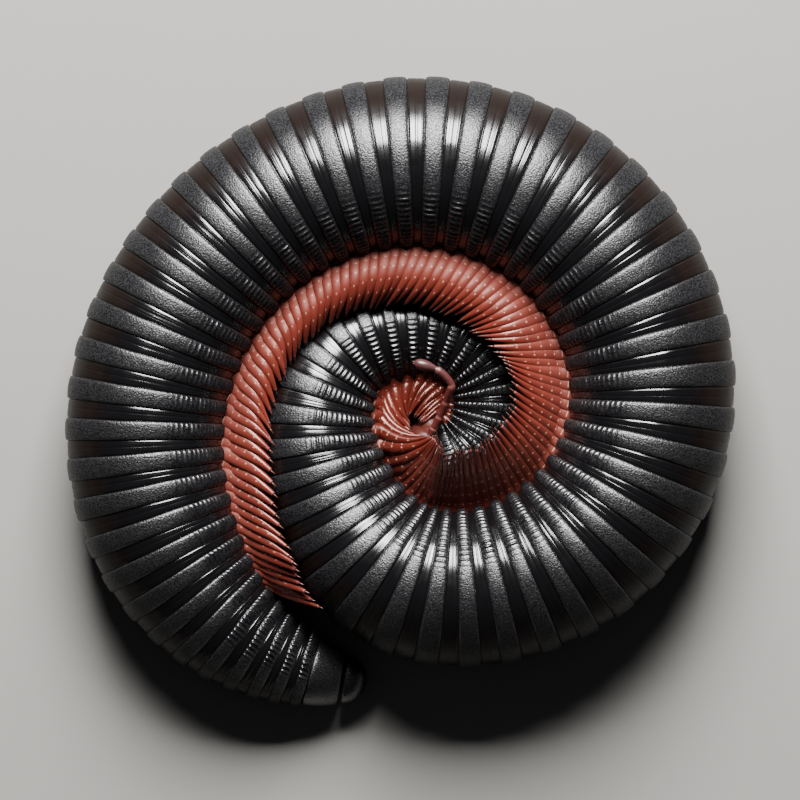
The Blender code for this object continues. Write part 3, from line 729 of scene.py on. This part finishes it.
def feeler_look():
    """Pinkish brown, paler and pinker toward the thick end, with a fine down."""
    look = Look("feeler_skin")
    cloud = look.noise(0.6)
    base = look.mix(cloud, (0.05, 0.009, 0.0075), (0.085, 0.018, 0.015))
    club = look.mix(cloud, (0.045, 0.016, 0.0165), (0.075, 0.028, 0.028))
    body = look.mix(look.value("end"), base, club)
    look.set("Base Color", look.mix(look.value("joint"), body, (0.14, 0.045, 0.04)))
    look.set("Roughness", look.span(look.noise(0.3), 0.3, 0.7, 0.24, 0.34))
    look.relief(look.noise(0.07, 2.0), 0.02, 0.6)
    return look.made


def eye_look():
    """Glossy black with a faint cloudiness."""
    look = Look("eye_black")
    look.set("Base Color", look.mix(look.noise(0.2), (0.006, 0.006, 0.007), (0.02, 0.018, 0.02)))
    look.set("Roughness", 0.12)
    look.relief(look.noise(0.1, 1.0), 0.004, 0.3)
    return look.made


def flesh_look():
    """The dull, dark red skin of the neck."""
    look = Look("flesh")
    look.set("Base Color", look.mix(look.noise(0.8), (0.018, 0.005, 0.004), (0.035, 0.010, 0.007)))
    look.set("Roughness", 0.5)
    look.relief(look.noise(0.25), 0.05, 0.6)
    return look.made


# Rings


def ring_turns(half):
    """Turns round the body from the belly side, set close where the ribs are."""
    close = np.linspace(-half, half, RIB_COLUMNS, endpoint=False)
    wide = np.linspace(half, 360.0 - half, PLAIN_COLUMNS, endpoint=False)
    return np.concatenate((close, wide))


def away_from_belly(turns):
    """How far round from the belly line a turn is, 0 to 180 degrees."""
    wrapped = (turns + 180.0) % 360.0 - 180.0
    return np.abs(wrapped)


def step_between(values, low, high):
    """A smooth rise from 0 at the first bound to 1 at the second, which may be the lower."""
    t = np.clip((values - low) / (high - low), 0.0, 1.0)
    return t * t * (3.0 - 2.0 * t)


def ridges(phase):
    """The height of the fine ribs, from 0 to 1, one rib to a phase of 1."""
    return (0.5 + 0.5 * np.cos(2.0 * math.pi * phase)) ** RIB_SHARPNESS


def rib_fade(aside, half):
    """1 where the ribs have their full height, 0 past the turn where they end."""
    return 1.0 - step_between(aside, half - RIB_FADE_TURN, half - RIB_END_TURN)


def ring_rows(line, start, end, turns, half):
    """The rows of one ring, with the raised, rim, along, back and ribbed values of each point."""
    around = len(turns)
    aside = away_from_belly(turns)
    wander = RANDOM.uniform(-SHARE_WANDER, SHARE_WANDER)
    share = BELLY_SHARE + (BACK_SHARE - BELLY_SHARE) * step_between(aside, *SHARE_TURNS) + wander
    radius = float(line.radius_at((start + end) / 2))
    relief = LEAST_RELIEF + (1.0 - LEAST_RELIEF) * radius / FULL_RING_RADIUS
    arc = math.radians(2.0 * half) * radius
    ribs = max(round(arc / (RIB_SPACING * (0.5 + 0.5 * relief))), LEAST_RIBS)
    ridge = ridges(turns / (2.0 * half) * ribs + RANDOM.uniform(0.0, 1.0))
    narrow = float(step_between(radius, *NARROW_RADII))
    height = WIDE_RIB_HEIGHT + (NARROW_RIB_HEIGHT - WIDE_RIB_HEIGHT) * narrow
    fade = rib_fade(aside, half)
    strength = RANDOM.uniform(*RIB_STRENGTHS, size=around)
    strength = (strength + np.roll(strength, 1) + np.roll(strength, 2)) / 3.0
    offset = RANDOM.uniform(0.0, LINES_OFFSET)
    length = float(np.linalg.norm(line.read(end, line.middle) - line.read(start, line.middle)))
    belly = step_between(aside, *DEPTH_TURNS)
    rim_share = 1.0 - step_between(aside, *RIM_TURNS)
    back = step_between(aside, *BACK_TURNS)
    rows = []
    for high, place, back_depth, belly_depth, rib in RING_ROWS:
        t = share + (1.0 - share) * place if high else share * place
        angle = start + (end - start) * t
        distance = line.radius_at(angle) - (back_depth + (belly_depth - back_depth) * belly) * relief
        if high:
            distance = distance + height * rib * ridge * fade * strength
            distance = distance + RANDOM.normal(0.0, GRAIN_HEIGHT, size=around) * rib
        raised = np.full(around, 1.0 if high and place > BAND_START else 0.0)
        rim = rim_share * (max(place - RIM_START, 0.0) / (1.0 - RIM_START) if high else 0.0)
        points = line.points(angle, turns, distance)
        rows.append((points, raised, rim, t * length + offset, back, fade))
    return [np.array(kind) for kind in zip(*rows)]


def make_shell(name, look, rows, **values):
    """A closed piece of shell from its rows of points."""
    shape = Shape(*SHELL_VALUES)
    shape.add_rows(rows, **values)
    return shape.make(name, look)


def ring_length(name, line, edges, plug, look):
    """A few rings as one closed shell; its front slides under the length before it."""
    wide = float(line.radius_at((edges[0] + edges[-1]) / 2))
    half = WIDE_RIB_TURN + (NARROW_RIB_TURN - WIDE_RIB_TURN) * float(step_between(wide, *NARROW_RADII))
    turns = ring_turns(half)
    zero = np.zeros((1, len(turns)))

    def sunk_row(edge, depth, along):
        angle = np.full(len(turns), edge)
        row = line.points(angle, turns, line.radius_at(angle) - depth, along)
        return row[None], zero, zero, zero, zero, zero

    parts = [sunk_row(edges[0], PLUG_DEPTH, PLUG_LENGTH)] if plug else []
    for start, end in zip(edges, edges[1:]):
        parts.append(ring_rows(line, start, end, turns, half))
    parts.append(sunk_row(edges[-1], SOCKET_DEPTH, SOCKET_LENGTH))
    rows, *values = (np.concatenate(kind) for kind in zip(*parts))
    return make_shell(name, look, rows, **dict(zip(SHELL_VALUES, values)))


# Legs


class Obstacles:
    """What a leg keeps clear of: the coil's own turns and the head."""

    def __init__(self, frames, head_middle):
        self.angles = np.array([frame.angle for frame in frames])
        self.middle = np.array([frame.middle[:] for frame in frames])
        self.forward = np.array([frame.forward[:] for frame in frames])
        self.belly = np.array([frame.belly[:] for frame in frames])
        self.radius = np.array([frame.radius for frame in frames])
        self.head = np.array(head_middle[:])

    def shortfall(self, points, rise, own=None):
        """How much further up or down each point has to go to be clear."""
        offset = points[:, None, :] - self.middle[None]
        limit = self.radius[None] + LEG_CLEARANCE
        inward = (offset * self.belly[None]).sum(-1)
        along = (offset * self.forward[None]).sum(-1)
        hit = (np.abs(along) < SECTION_REACH) & (np.abs(inward) < limit)
        if own is not None:
            hit &= (np.abs(self.angles - own) > OWN_TURN)[None]
        height = np.sqrt(np.maximum(limit**2 - inward**2, 0.0))
        missing = np.where(hit, height - rise * offset[..., 2], 0.0).max(axis=1)
        flat = np.linalg.norm((points - self.head)[:, :2], axis=1)
        reach = HEAD_DEEP + LEG_CLEARANCE
        under = np.sqrt(np.maximum(1.0 - (flat / reach) ** 2, 0.0)) * (HEAD_HALF_HEIGHT + LEG_CLEARANCE)
        over_head = np.where(flat < reach, under - rise * (points[:, 2] - self.head[2]), 0.0)
        return np.maximum(np.maximum(missing, over_head), 0.0)


def round_off(points, rounds):
    """Cut the corners of a path, keeping its two ends."""
    for _ in range(rounds):
        first = points[:-1] * 0.75 + points[1:] * 0.25
        second = points[:-1] * 0.25 + points[1:] * 0.75
        inner = np.stack((first, second), axis=1).reshape(-1, 3)
        points = np.concatenate((points[:1], inner[1:-1], points[-1:]))
    return points


def gathering(angle):
    """0 where legs lie as the leg stations say, 1 where their tips gather in the hub."""
    return float(step_between(-angle, -HUB_FROM, -HUB_FULL))


def leg_line(angle, rise, second, sway, obstacles):
    """The smooth line of one leg from its sunk root over the knee to its end."""
    body = Frame(angle)
    hidden = crowding(angle) if second else 0.0
    lower = SECOND_LEG_LOWER * hidden
    low = 1.0 if rise > 0 else LOW_LEG_SHARE
    reach, half_trail, trail, knee_angle, middle_height, tip_height = (
        smooth_value(LEG_STATIONS, angle, column) for column in range(1, 7)
    )
    reach *= RANDOM.uniform(*REACH_SHARES) if rise > 0 else LOW_LEG_REACH
    half_trail += MIDDLE_SWAY * sway
    trail += sway
    if rise < 0:
        knee_angle = max(low * knee_angle, LOWER_KNEE_TURN - knee_angle)
    root_angle = float(np.interp(knee_angle, KNEE_TURNS, ROOT_TURNS))
    gathered = gathering(angle)
    lean_length = max(MIDDLE_REACH * reach - LEG_KNEE_RISE, LEAST_LEAN_LENGTH)
    lean = ROOT_LEAN * (1.0 - gathered) * half_trail / lean_length
    ahead = lean * (LEG_KNEE_RISE + LEG_ROOT_DEPTH)
    root = body.at(rise * root_angle, body.radius - LEG_ROOT_DEPTH, ahead)
    knee_angle += RANDOM.normal(0.0, KNEE_WANDER) - SECOND_LEG_DROP * hidden
    inward = body.radius + LEG_KNEE_RISE
    knee = body.place(0.0, inward, rise * math.tan(math.radians(knee_angle)) * inward)

    def height(value):
        return rise * (low * value - lower) * body.radius / FULL_RING_RADIUS

    middle = body.place(-half_trail, body.radius + MIDDLE_REACH * reach, height(middle_height))
    tip = body.place(-trail, body.radius + reach, height(tip_height))
    if gathered > 0.0 and angle > HUB_END:
        x, y, z, bow = (smooth_value(HUB_TIPS, angle, column) for column in range(1, 5))
        if rise < 0:
            z *= LOW_TIP_SHARE
        goal = Vector((x, y, z - lower)) + SHIFT
        goal += Vector(RANDOM.normal(0.0, HUB_TIP_WANDER, size=3))
        way = (goal - knee).normalized()
        half_way = knee.lerp(goal, 0.5) + Vector((way.y, -way.x, 0.0)) * bow
        half_way.z += HUB_LEG_ARCH * rise
        tip = tip.lerp(goal, gathered)
        middle = middle.lerp(half_way, gathered)
    control = middle * 2.0 - (knee + tip) * 0.5
    for _ in range(LIFT_ROUNDS):
        missing = obstacles.shortfall(bezier(knee, control, tip, LIFT_PLACES), rise)
        control.z += rise * missing[LIFT_PLACES < TIP_PLACE].max()
        tip.z += rise * missing[LIFT_PLACES > TIP_PLACE].max()
        control.z = max(control.z, LEG_CLEARANCE)
        tip.z = max(tip.z, LEG_CLEARANCE)
    curve = bezier(knee, control, tip, np.linspace(0.0, 1.0, CURVE_POINTS))
    points = round_off(np.concatenate((np.array(root[:])[None], curve)), 2)
    lift = obstacles.shortfall(points, rise, angle)
    lift[:SUNK_POINTS] = 0.0
    points[:, 2] += rise * np.maximum(lift, evened(lift, 2)) * LIFT_SHARE
    points[:, 2] = np.maximum(points[:, 2], LEG_CLEARANCE)
    return along_path(points, np.linspace(0.0, 1.0, LEG_POINTS))


def crowding(angle):
    """0 where legs lie side by side, 1 where a ring's second leg is hidden under its first."""
    room = line_point(angle).length - float(smooth_value(STATIONS, angle, 2))
    return min(max(2.0 - room / CROWDED_ROOM, 0.0), 1.0)


def leg_spacing(lines, number, step):
    """How far a leg's neighbours lie from it, square to it, at each of its points."""
    points = lines[number]
    ahead = np.gradient(points, axis=0)
    ahead /= np.linalg.norm(ahead, axis=1, keepdims=True)
    found = []
    for other in (number - step, number + step):
        if 0 <= other < len(lines):
            apart = lines[other] - points
            apart = apart - ahead * (apart * ahead).sum(-1, keepdims=True)
            found.append(np.linalg.norm(apart, axis=1))
    return sum(found) / len(found)


def evened(values, reach):
    """Values averaged with a few neighbours on either side."""
    count = 2 * reach + 1
    return np.convolve(np.pad(values, reach, "edge"), np.ones(count) / count, "valid")


def leg_radii(lines, number, crowd):
    """Radii that let a leg just touch its neighbours all the way."""
    spacing = leg_spacing(lines, number, 1) * (1.0 - crowd) + leg_spacing(lines, number, 2) * crowd
    return evened(np.clip(spacing * LEG_PACKING, LEG_LEAST_RADIUS, LEG_MOST_RADIUS), 3)


def bezier(first, middle, last, shares):
    """Points of a smooth bend between two ends, drawn toward a middle point."""
    first, middle, last = (np.array(point[:]) for point in (first, middle, last))
    s = shares[:, None]
    return first * (1.0 - s) ** 2 + middle * (2.0 * s * (1.0 - s)) + last * s**2


def tube(points, radii, sides, flat=1.0):
    """Rows of points round a path, each square to it, lower than wide where flat is below 1."""
    ahead = np.gradient(points, axis=0)
    ahead /= np.linalg.norm(ahead, axis=1, keepdims=True)
    across = np.array(UP[:]) - ahead * ahead[:, 2:]
    across /= np.maximum(np.linalg.norm(across, axis=1, keepdims=True), 1e-6)
    other = np.cross(ahead, across)
    across *= np.broadcast_to(flat, len(points))[:, None]
    turn = 2.0 * math.pi * np.arange(sides) / sides
    ring = across[:, None] * np.cos(turn)[None, :, None] + other[:, None] * np.sin(turn)[None, :, None]
    return points[:, None] + ring * radii[:, None, None]


def along_path(points, shares):
    """Points at shares of a path's length."""
    steps = np.linalg.norm(np.diff(points, axis=0), axis=1)
    reached = np.concatenate(((0.0,), np.cumsum(steps)))
    reached /= reached[-1]
    return np.stack([np.interp(shares, reached, points[:, i]) for i in range(3)], axis=-1)


def add_leg(shape, points, radii, shade, fine):
    """One jointed leg: six joints, each widest near its far end."""
    shares = []
    widths = []
    joint = []
    for start, end in zip(LEG_JOINTS, LEG_JOINTS[1:]):
        last = end == LEG_JOINTS[-1]
        for place, width, pale in JOINT_ROWS:
            shares.append(start + (end - start) * place)
            widths.append(0.5 + 0.5 * width if last else width)
            joint.append(0.0 if last and place > JOINT_RIM else pale)
    shares = np.array(shares)
    late = np.clip((shares - TAPER_START) / (1.0 - TAPER_START), 0.0, 1.0)
    thick = np.interp(shares, np.linspace(0.0, 1.0, len(radii)), radii)
    thick = thick * np.array(widths) * (1.0 - TAPER * late**TAPER_CURVE)
    flat = LEG_FLATNESS + (1.0 - LEG_FLATNESS) * np.maximum(late, FINE_ROUNDNESS * fine)
    rows = tube(along_path(points, shares), thick, LEG_SIDES, flat)
    turn = 2.0 * math.pi * np.arange(LEG_SIDES) / LEG_SIDES
    # The top crest of the leg, where the painted highlight spots go, widened near the root.
    root = 1.0 - step_between(shares, *ROOT_GLINT_END)
    crest = np.cos(turn)[None, :] + ROOT_GLINT_WIDTH * (1.0 - 0.6 * fine) * root[:, None]
    tip = step_between(shares, *TIP_START) * TIP_PALENESS
    sleek = np.maximum(step_between(shares, *GLOSS_SET_IN), fine)
    sleek = sleek - MATT_ROOT * (1.0 - step_between(shares, *MATT_ROOT_END))
    values = {"joint": np.array(joint)[:, None], "sleek": sleek[:, None], "tip": tip[:, None]}
    shape.add_rows(rows, crest=crest, depth=shade, **values)


def add_claw(shape, points, fine):
    """The thin claw at a leg's end, bent down a little."""
    ahead = points[-1] - points[-3]
    ahead /= np.linalg.norm(ahead)
    steps = np.linspace(CLAW_START, 1.0, CLAW_ROWS)
    claw = points[-1] + ahead * (steps * CLAW_LENGTH * (1.0 - FINE_CLAW_SHORTER * fine))[:, None]
    claw[:, 2] = np.maximum(claw[:, 2] - CLAW_DROP * np.maximum(steps, 0.0) ** 2, CLAW_FLOOR)
    narrowing = CLAW_TAPER * np.linspace(0.0, 1.0, CLAW_ROWS) ** CLAW_CURVE
    radii = CLAW_RADIUS * (1.0 - FINE_CLAW_THINNER * fine) * (1.0 - narrowing)
    # The depth value here is painted shade on the inner turn's claws.
    shape.add_rows(tube(claw, radii, CLAW_SIDES), depth=fine)


def leg_angles(edges, first, last):
    """Station angles and order of the legs of a few rings, two pairs on each but the first."""
    made = []
    for ring in range(first, last):
        count = 1 if ring < ONE_PAIR_RINGS else 2
        for leg in range(count):
            place = (leg + 0.5) / count
            made.append((edges[ring] + (edges[ring + 1] - edges[ring]) * place, leg == 1))
    return made


def lay_legs(angles, obstacles):
    """The station angle, line and radii of every leg, on both sides."""
    laid = []
    for rise in (1, -1):
        phases = RANDOM.uniform(0.0, 2.0 * math.pi, size=len(LEG_SWAY))
        lines = []
        for number, (angle, second) in enumerate(angles):
            sway = RANDOM.normal(0.0, LEG_WANDER)
            for (size, swing), phase in zip(LEG_SWAY, phases):
                sway += size * math.sin(2.0 * math.pi * number / swing + phase)
            sway *= 1.0 - HUB_CALM * gathering(angle)
            lines.append(leg_line(angle, rise, second, sway, obstacles))
        for number, (angle, _) in enumerate(angles):
            laid.append((angle, lines[number], leg_radii(lines, number, crowding(angle))))
    return laid


# Head, collum, feelers and tail


def collum_front():
    """The cross-section at the collum's front edge."""
    return Frame(COLLUM_BACK).ahead(COLLUM_LENGTH, COLLUM_TURN)


def head_frame():
    """The head's middle and directions, just ahead of the collum."""
    body = collum_front()
    spin = Matrix.Rotation(math.radians(-HEAD_TURN), 3, "Z")
    middle = body.middle + body.forward * HEAD_AHEAD + body.belly * HEAD_SIDEWAYS
    middle.z = HEAD_HALF_HEIGHT + HEAD_LIFT
    return body, middle, spin @ body.forward, spin @ body.belly


def globe(middle, axes, sizes, grid, bulge=None):
    """Rows of a rounded body; bulge gives its size by direction, which comes back with them."""
    around, rows = grid
    slopes = np.linspace(0.02, math.pi - 0.02, rows)
    turns = 2.0 * math.pi * np.arange(around) / around
    slope, turn = np.meshgrid(slopes, turns, indexing="ij")
    directions = (np.sin(slope) * np.cos(turn), np.sin(slope) * np.sin(turn), np.cos(slope))
    size = bulge(*directions) if bulge else 1.0
    made = np.array(middle[:])
    for axis, direction, half in zip(axes, directions, sizes):
        made = made + np.array(axis[:]) * (direction * half * size)[..., None]
    return made, directions


def hump(height, spread, *offsets):
    """A smooth rise, or a dip where its height is negative, round where the offsets are 0."""
    return height * np.exp(-sum(offset**2 for offset in offsets) / spread)


def behind_wall(points, body, gap):
    """Points pushed forward to keep a gap from a cross-section of the body."""
    forward = np.array(body.forward[:])
    wall = np.array(body.middle[:]) @ forward + gap
    short = np.maximum(wall - points @ forward, 0.0)
    return points + forward * short[..., None]


def make_collum(look):
    """The first, narrow ring, which leans over the back of the head."""
    turns = ring_turns(NARROW_RIB_TURN)
    turn = np.radians(turns)
    back = Frame(COLLUM_BACK)
    fade = rib_fade(away_from_belly(turns), NARROW_RIB_TURN)
    rib_height = COLLUM_RIB_HEIGHT * ridges(turns / COLLUM_RIB_TURN) * fade
    rows = []
    rims = []
    for place, scale, rib in COLLUM_ROWS:
        body = back.ahead(COLLUM_LENGTH * place, COLLUM_TURN * place)
        distance = body.radius * scale + rib * rib_height
        row = np.array(body.middle[:]) + np.array(body.belly[:]) * (np.cos(turn) * distance)[:, None]
        row[:, 2] += np.sin(turn) * distance
        rows.append(row)
        rims.append(np.full(len(turns), 0.7 if scale < COLLUM_RIM_SHARE and place > 0.5 else 0.0))
    values = {"raised": 0.8, "rim": np.array(rims[::-1]), "ribbed": fade[None, :]}
    return make_shell("collum_shield", look, rows[::-1], **values)


def make_head(look):
    """The head's capsule with its cheek lobes and mouth plate."""
    body, middle, forward, belly = head_frame()
    axes = (forward, UP, belly)

    def capsule(a, b, c):
        cheeks = hump(0.05, 0.05, np.abs(b) - 0.75, c - 0.4)
        groove = hump(-0.035, 0.003, c - 0.62) * (a > -0.2)
        parting = hump(-0.02, 0.0015, b) * (c < 0.3)
        sockets = hump(-0.09, 0.02, np.abs(b) - 0.62, c - 0.05, a - 0.75)
        return 1.0 + cheeks + groove + parting + sockets

    sizes = (HEAD_LONG, HEAD_HALF_HEIGHT, HEAD_DEEP)
    rows, (_, _, c) = globe(middle, axes, sizes, HEAD_GRID, capsule)
    shape = Shape("crown", "pale")
    crown = step_between(-c, -0.5, 0.2)
    pale = 0.5 * step_between(c, 0.8, 0.98)
    shape.add_rows(behind_wall(rows, body, HEAD_GAP)[::-1], crown=crown[::-1], pale=pale[::-1])
    for ahead, rise, share, sizes, grid, cleft, pale in HEAD_LUMPS:
        spot = middle + belly * (HEAD_DEEP * share) + UP * rise + forward * ahead
        rows, _ = globe(spot, axes, sizes, grid, lambda a, b, c: 1.0 - hump(cleft, 0.01, b))
        shape.add_rows(behind_wall(rows, body, HEAD_GAP)[::-1], crown=0.0, pale=pale)
    return shape.make("head_capsule", look)


def make_eye(name, rise, look):
    """A patch of small domed eyes in rows on the side of the head."""
    _, middle, forward, belly = head_frame()
    axes = (forward, belly, UP * rise)
    ground = middle + belly * (HEAD_DEEP * EYE_PLACE) + forward * (HEAD_LONG * EYE_PLACE)
    ground.z = middle.z + rise * (HEAD_HALF_HEIGHT + EYE_PROUD)
    balls = [(ground, EYE_SIZES, EYE_GRID)]
    for row in EYE_ROWS:
        for column in EYE_COLUMNS:
            x = (column + 0.5 * (row % 2)) * COLUMN_SPACING
            y = row * ROW_SPACING
            inside = 1.0 - (x / EYE_SIZES[0]) ** 2 - (y / EYE_SIZES[1]) ** 2
            if inside >= EYE_MARGIN:
                dome = ground + forward * x + belly * y
                dome.z += rise * EYE_SIZES[2] * math.sqrt(inside)
                balls.append((dome, DOME_SIZES, DOME_GRID))
    shape = Shape()
    for spot, sizes, grid in balls:
        rows, _ = globe(spot, axes, sizes, grid)
        shape.add_rows(rows[::-1] if rise > 0 else rows)
    return shape.make(name, look)


def make_feeler(name, bends, look):
    """Jointed feeler along a bent path, its thick end joint topped by small cones."""
    path = round_off(np.array([bend[:] for bend in bends], dtype=float), 3)
    shares = []
    widths = []
    joint = []
    for start, end in zip(FEELER_JOINTS, FEELER_JOINTS[1:]):
        club = end == FEELER_JOINTS[-1]
        for place, width in CLUB_ROWS if club else FEELER_ROWS:
            rim = place < 0.05 or place > 0.9
            shares.append(start + (end - start) * place)
            widths.append((CLUB_RADIUS if club else FEELER_RADIUS) * width)
            joint.append(0.7 if rim and not (club and place > JOINT_RIM) else 0.0)
    shares = np.array(shares)
    points = along_path(path, shares)
    shape = Shape("joint", "end")
    values = {"joint": np.array(joint)[:, None], "end": step_between(shares, *CLUB_START)[:, None]}
    shape.add_rows(tube(points, np.array(widths), FEELER_SIDES), **values)
    ahead = points[-1] - points[-2]
    ahead /= np.linalg.norm(ahead)
    side = np.cross(ahead, UP[:])
    for x, z in ((1, 1), (-1, 1), (1, -1), (-1, -1)):
        foot = points[-1] + side * (x * CONE_OFFSET) + np.array((0.0, 0.0, z * CONE_OFFSET))
        cone = np.stack([foot + ahead * step for step in CONE_STEPS])
        shape.add_rows(tube(cone, np.array(CONE_RADII), CONE_SIDES), joint=0.6, end=1.0)
    return shape.make(name, look)


def feeler_bends():
    """The bends of the right and the left feeler, each from its socket on the head."""
    _, middle, _, belly = head_frame()
    base = middle + belly * FEELER_BASE
    rise = UP * (HEAD_HALF_HEIGHT * math.sqrt(1.0 - (FEELER_BASE / HEAD_DEEP) ** 2))
    right = [base + rise] + [Vector(bend) + SHIFT for bend in RIGHT_FEELER]
    left = [base - rise] + [Vector(bend) + SHIFT for bend in LEFT_FEELER]
    return right, left


def make_neck(look):
    """Soft skin that joins the head to the collum, seen only in the gap between them."""
    body = collum_front()
    start = np.array((body.middle - body.forward * NECK_START)[:])
    end = np.array(head_frame()[1][:])
    path = start + (end - start) * np.linspace(0.0, 1.0, NECK_ROWS)[:, None]
    folds = 1.0 + NECK_FOLD * np.cos(np.arange(NECK_ROWS) * math.pi)
    radii = np.linspace(body.radius * NECK_BODY_SHARE, NECK_HEAD_RADIUS, NECK_ROWS) * folds
    shape = Shape()
    shape.add_rows(tube(path, radii, NECK_SIDES))
    return shape.make("neck_skin", look)


def make_tail(line, start, look):
    """The last ring and the two rounded valves that close it."""
    end = angle_after(start, -TELSON_LENGTH)
    turns = ring_turns(WIDE_RIB_TURN)
    rows = []
    for place, depth in TELSON_ROWS:
        angle = np.full(len(turns), start + (end - start) * place)
        distance = line.radius_at(angle) - depth + RANDOM.normal(0.0, GRAIN_HEIGHT, size=len(turns))
        rows.append(line.points(angle, turns, distance))
    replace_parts(make_shell("telson_shell", look, rows, raised=0.8), "telson")
    tail = Frame(end)
    back = copy.copy(tail)
    back.forward = -tail.forward
    size = tail.radius * VALVE_SIZE
    for name, rise in (("right", 1.0), ("left", -1.0)):
        rows, _ = globe(tail.middle, (tail.forward, tail.belly, UP), (size, size, size), VALVE_GRID)
        rows = behind_wall(rows, back, VALVE_GAP)
        split = tail.middle.z + rise * VALVE_GAP / 2
        margin = np.maximum(rise * (rows[..., 2] - split), 0.0)
        rows[..., 2] = split + rise * margin
        rim = 0.5 * np.exp(-margin / VALVE_RIM_WIDTH)
        valve = make_shell("valve_" + name, look, rows[::-1], raised=0.5, rim=rim[::-1])
        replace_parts(valve, "anal_valve_" + name)


# Floor, light and camera


def make_stage():
    """A plain pale floor."""
    corners = [(x * FLOOR_HALF, y * FLOOR_HALF, 0) for x, y in ((-1, -1), (1, -1), (1, 1), (-1, 1))]
    floor = bpy.data.meshes.new("floor")
    floor.from_pydata(corners, [], [(0, 1, 2, 3)])
    look = Look("floor_pale")
    look.set("Base Color", look.mix(look.noise(60.0), (0.225, 0.215, 0.20), (0.25, 0.24, 0.225)))
    look.set("Roughness", 0.85)
    floor.materials.append(look.made)
    put("floor", floor)


def make_lights():
    """A faint even sky and one soft square light from the picture's top."""
    world = bpy.data.worlds.new("studio")
    world.use_nodes = True
    background = world.node_tree.nodes["Background"]
    background.inputs["Color"].default_value = SKY_COLOUR
    background.inputs["Strength"].default_value = SKY_STRENGTH
    bpy.context.scene.world = world
    data = bpy.data.lights.new("key", "AREA")
    data.energy = KEY_POWER
    data.size = KEY_SIZE
    obj = put("key", data)
    elevation = math.radians(KEY_ELEVATION)
    direction = Vector((0.0, math.cos(elevation), math.sin(elevation)))
    obj.location = direction * KEY_DISTANCE
    obj.rotation_euler = direction.to_track_quat("Z", "Y").to_euler()


def make_camera():
    """Straight above the coil, framed as the photograph is."""
    data = bpy.data.cameras.new("camera")
    data.sensor_width = SENSOR
    data.lens = SENSOR * CAMERA_DISTANCE / PHOTO_WIDTH
    data.clip_start = 0.01
    data.clip_end = 10.0
    obj = put("camera", data)
    obj.location = Vector((SHIFT.x, SHIFT.y, CAMERA_DISTANCE + CAMERA_AIM)) * MM
    bpy.context.scene.camera = obj


def make_body(line, edges, obstacles, shell):
    """The lengths of the body with their legs, and the claws of all legs."""
    red = leg_look()
    claws = Shape("depth")
    ring_count = len(edges) - 1
    legless_from = ring_count - LEGLESS_TAIL_RINGS
    length_count = round(ring_count / RINGS_PER_LENGTH)
    all_legs = lay_legs(leg_angles(edges, FIRST_LEGGED_RING, legless_from), obstacles)
    for number in range(length_count):
        first = round(number * ring_count / length_count)
        last = round((number + 1) * ring_count / length_count)
        label = "%02d" % (number + 1)
        rings = ring_length("rings_" + label, line, edges[first : last + 1], number > 0, shell)
        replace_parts(rings, "trunk_" + label)
        legged = leg_angles(edges, max(first, FIRST_LEGGED_RING), min(last, legless_from))
        if not legged:
            continue
        legs = Shape("joint", "crest", "sleek", "tip", "depth")
        for angle, points, radii in all_legs:
            if legged[-1][0] >= angle >= legged[0][0]:
                fine = float(step_between(-angle, *FINE_ANGLES))
                # A random darker tone plus painted shade on the legs of the inner turn.
                shade = RANDOM.uniform(0.0, SHADE_WANDER) + FINE_SHADE * fine
                add_leg(legs, points, radii, shade, fine)
                add_claw(claws, points, fine)
        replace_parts(legs.make("legs_" + label, red), "trunk_" + label)
    claws.make("claws", claw_look())


def make_obstacles(edges):
    """Cross-sections all along the coil, and the head."""
    frames = []
    for start, end in zip(edges, edges[1:]):
        for part in range(SECTIONS_PER_RING):
            frames.append(Frame(start + (end - start) * (part + 0.5) / SECTIONS_PER_RING))
    for share in COLLUM_SECTIONS:
        frames.append(Frame(COLLUM_BACK).ahead(COLLUM_LENGTH * share, COLLUM_TURN * share))
    return Obstacles(frames, head_frame()[1])


def build():
    line = Line()
    edges = ring_edges()
    shell = shell_look()
    make_body(line, edges, make_obstacles(edges), shell)
    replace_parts(make_collum(shell), "collum")
    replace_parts(make_head(head_look()), "head")
    make_neck(flesh_look())
    black = eye_look()
    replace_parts(make_eye("eyes_right", 1.0, black), "eye_right")
    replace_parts(make_eye("eyes_left", -1.0, black), "eye_left")
    pink = feeler_look()
    right, left = feeler_bends()
    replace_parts(make_feeler("feeler_right", right, pink), "antenna_right")
    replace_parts(make_feeler("feeler_left", left, pink), "antenna_left")
    make_tail(line, edges[-1], shell)


build()
make_stage()
make_lights()
make_camera()
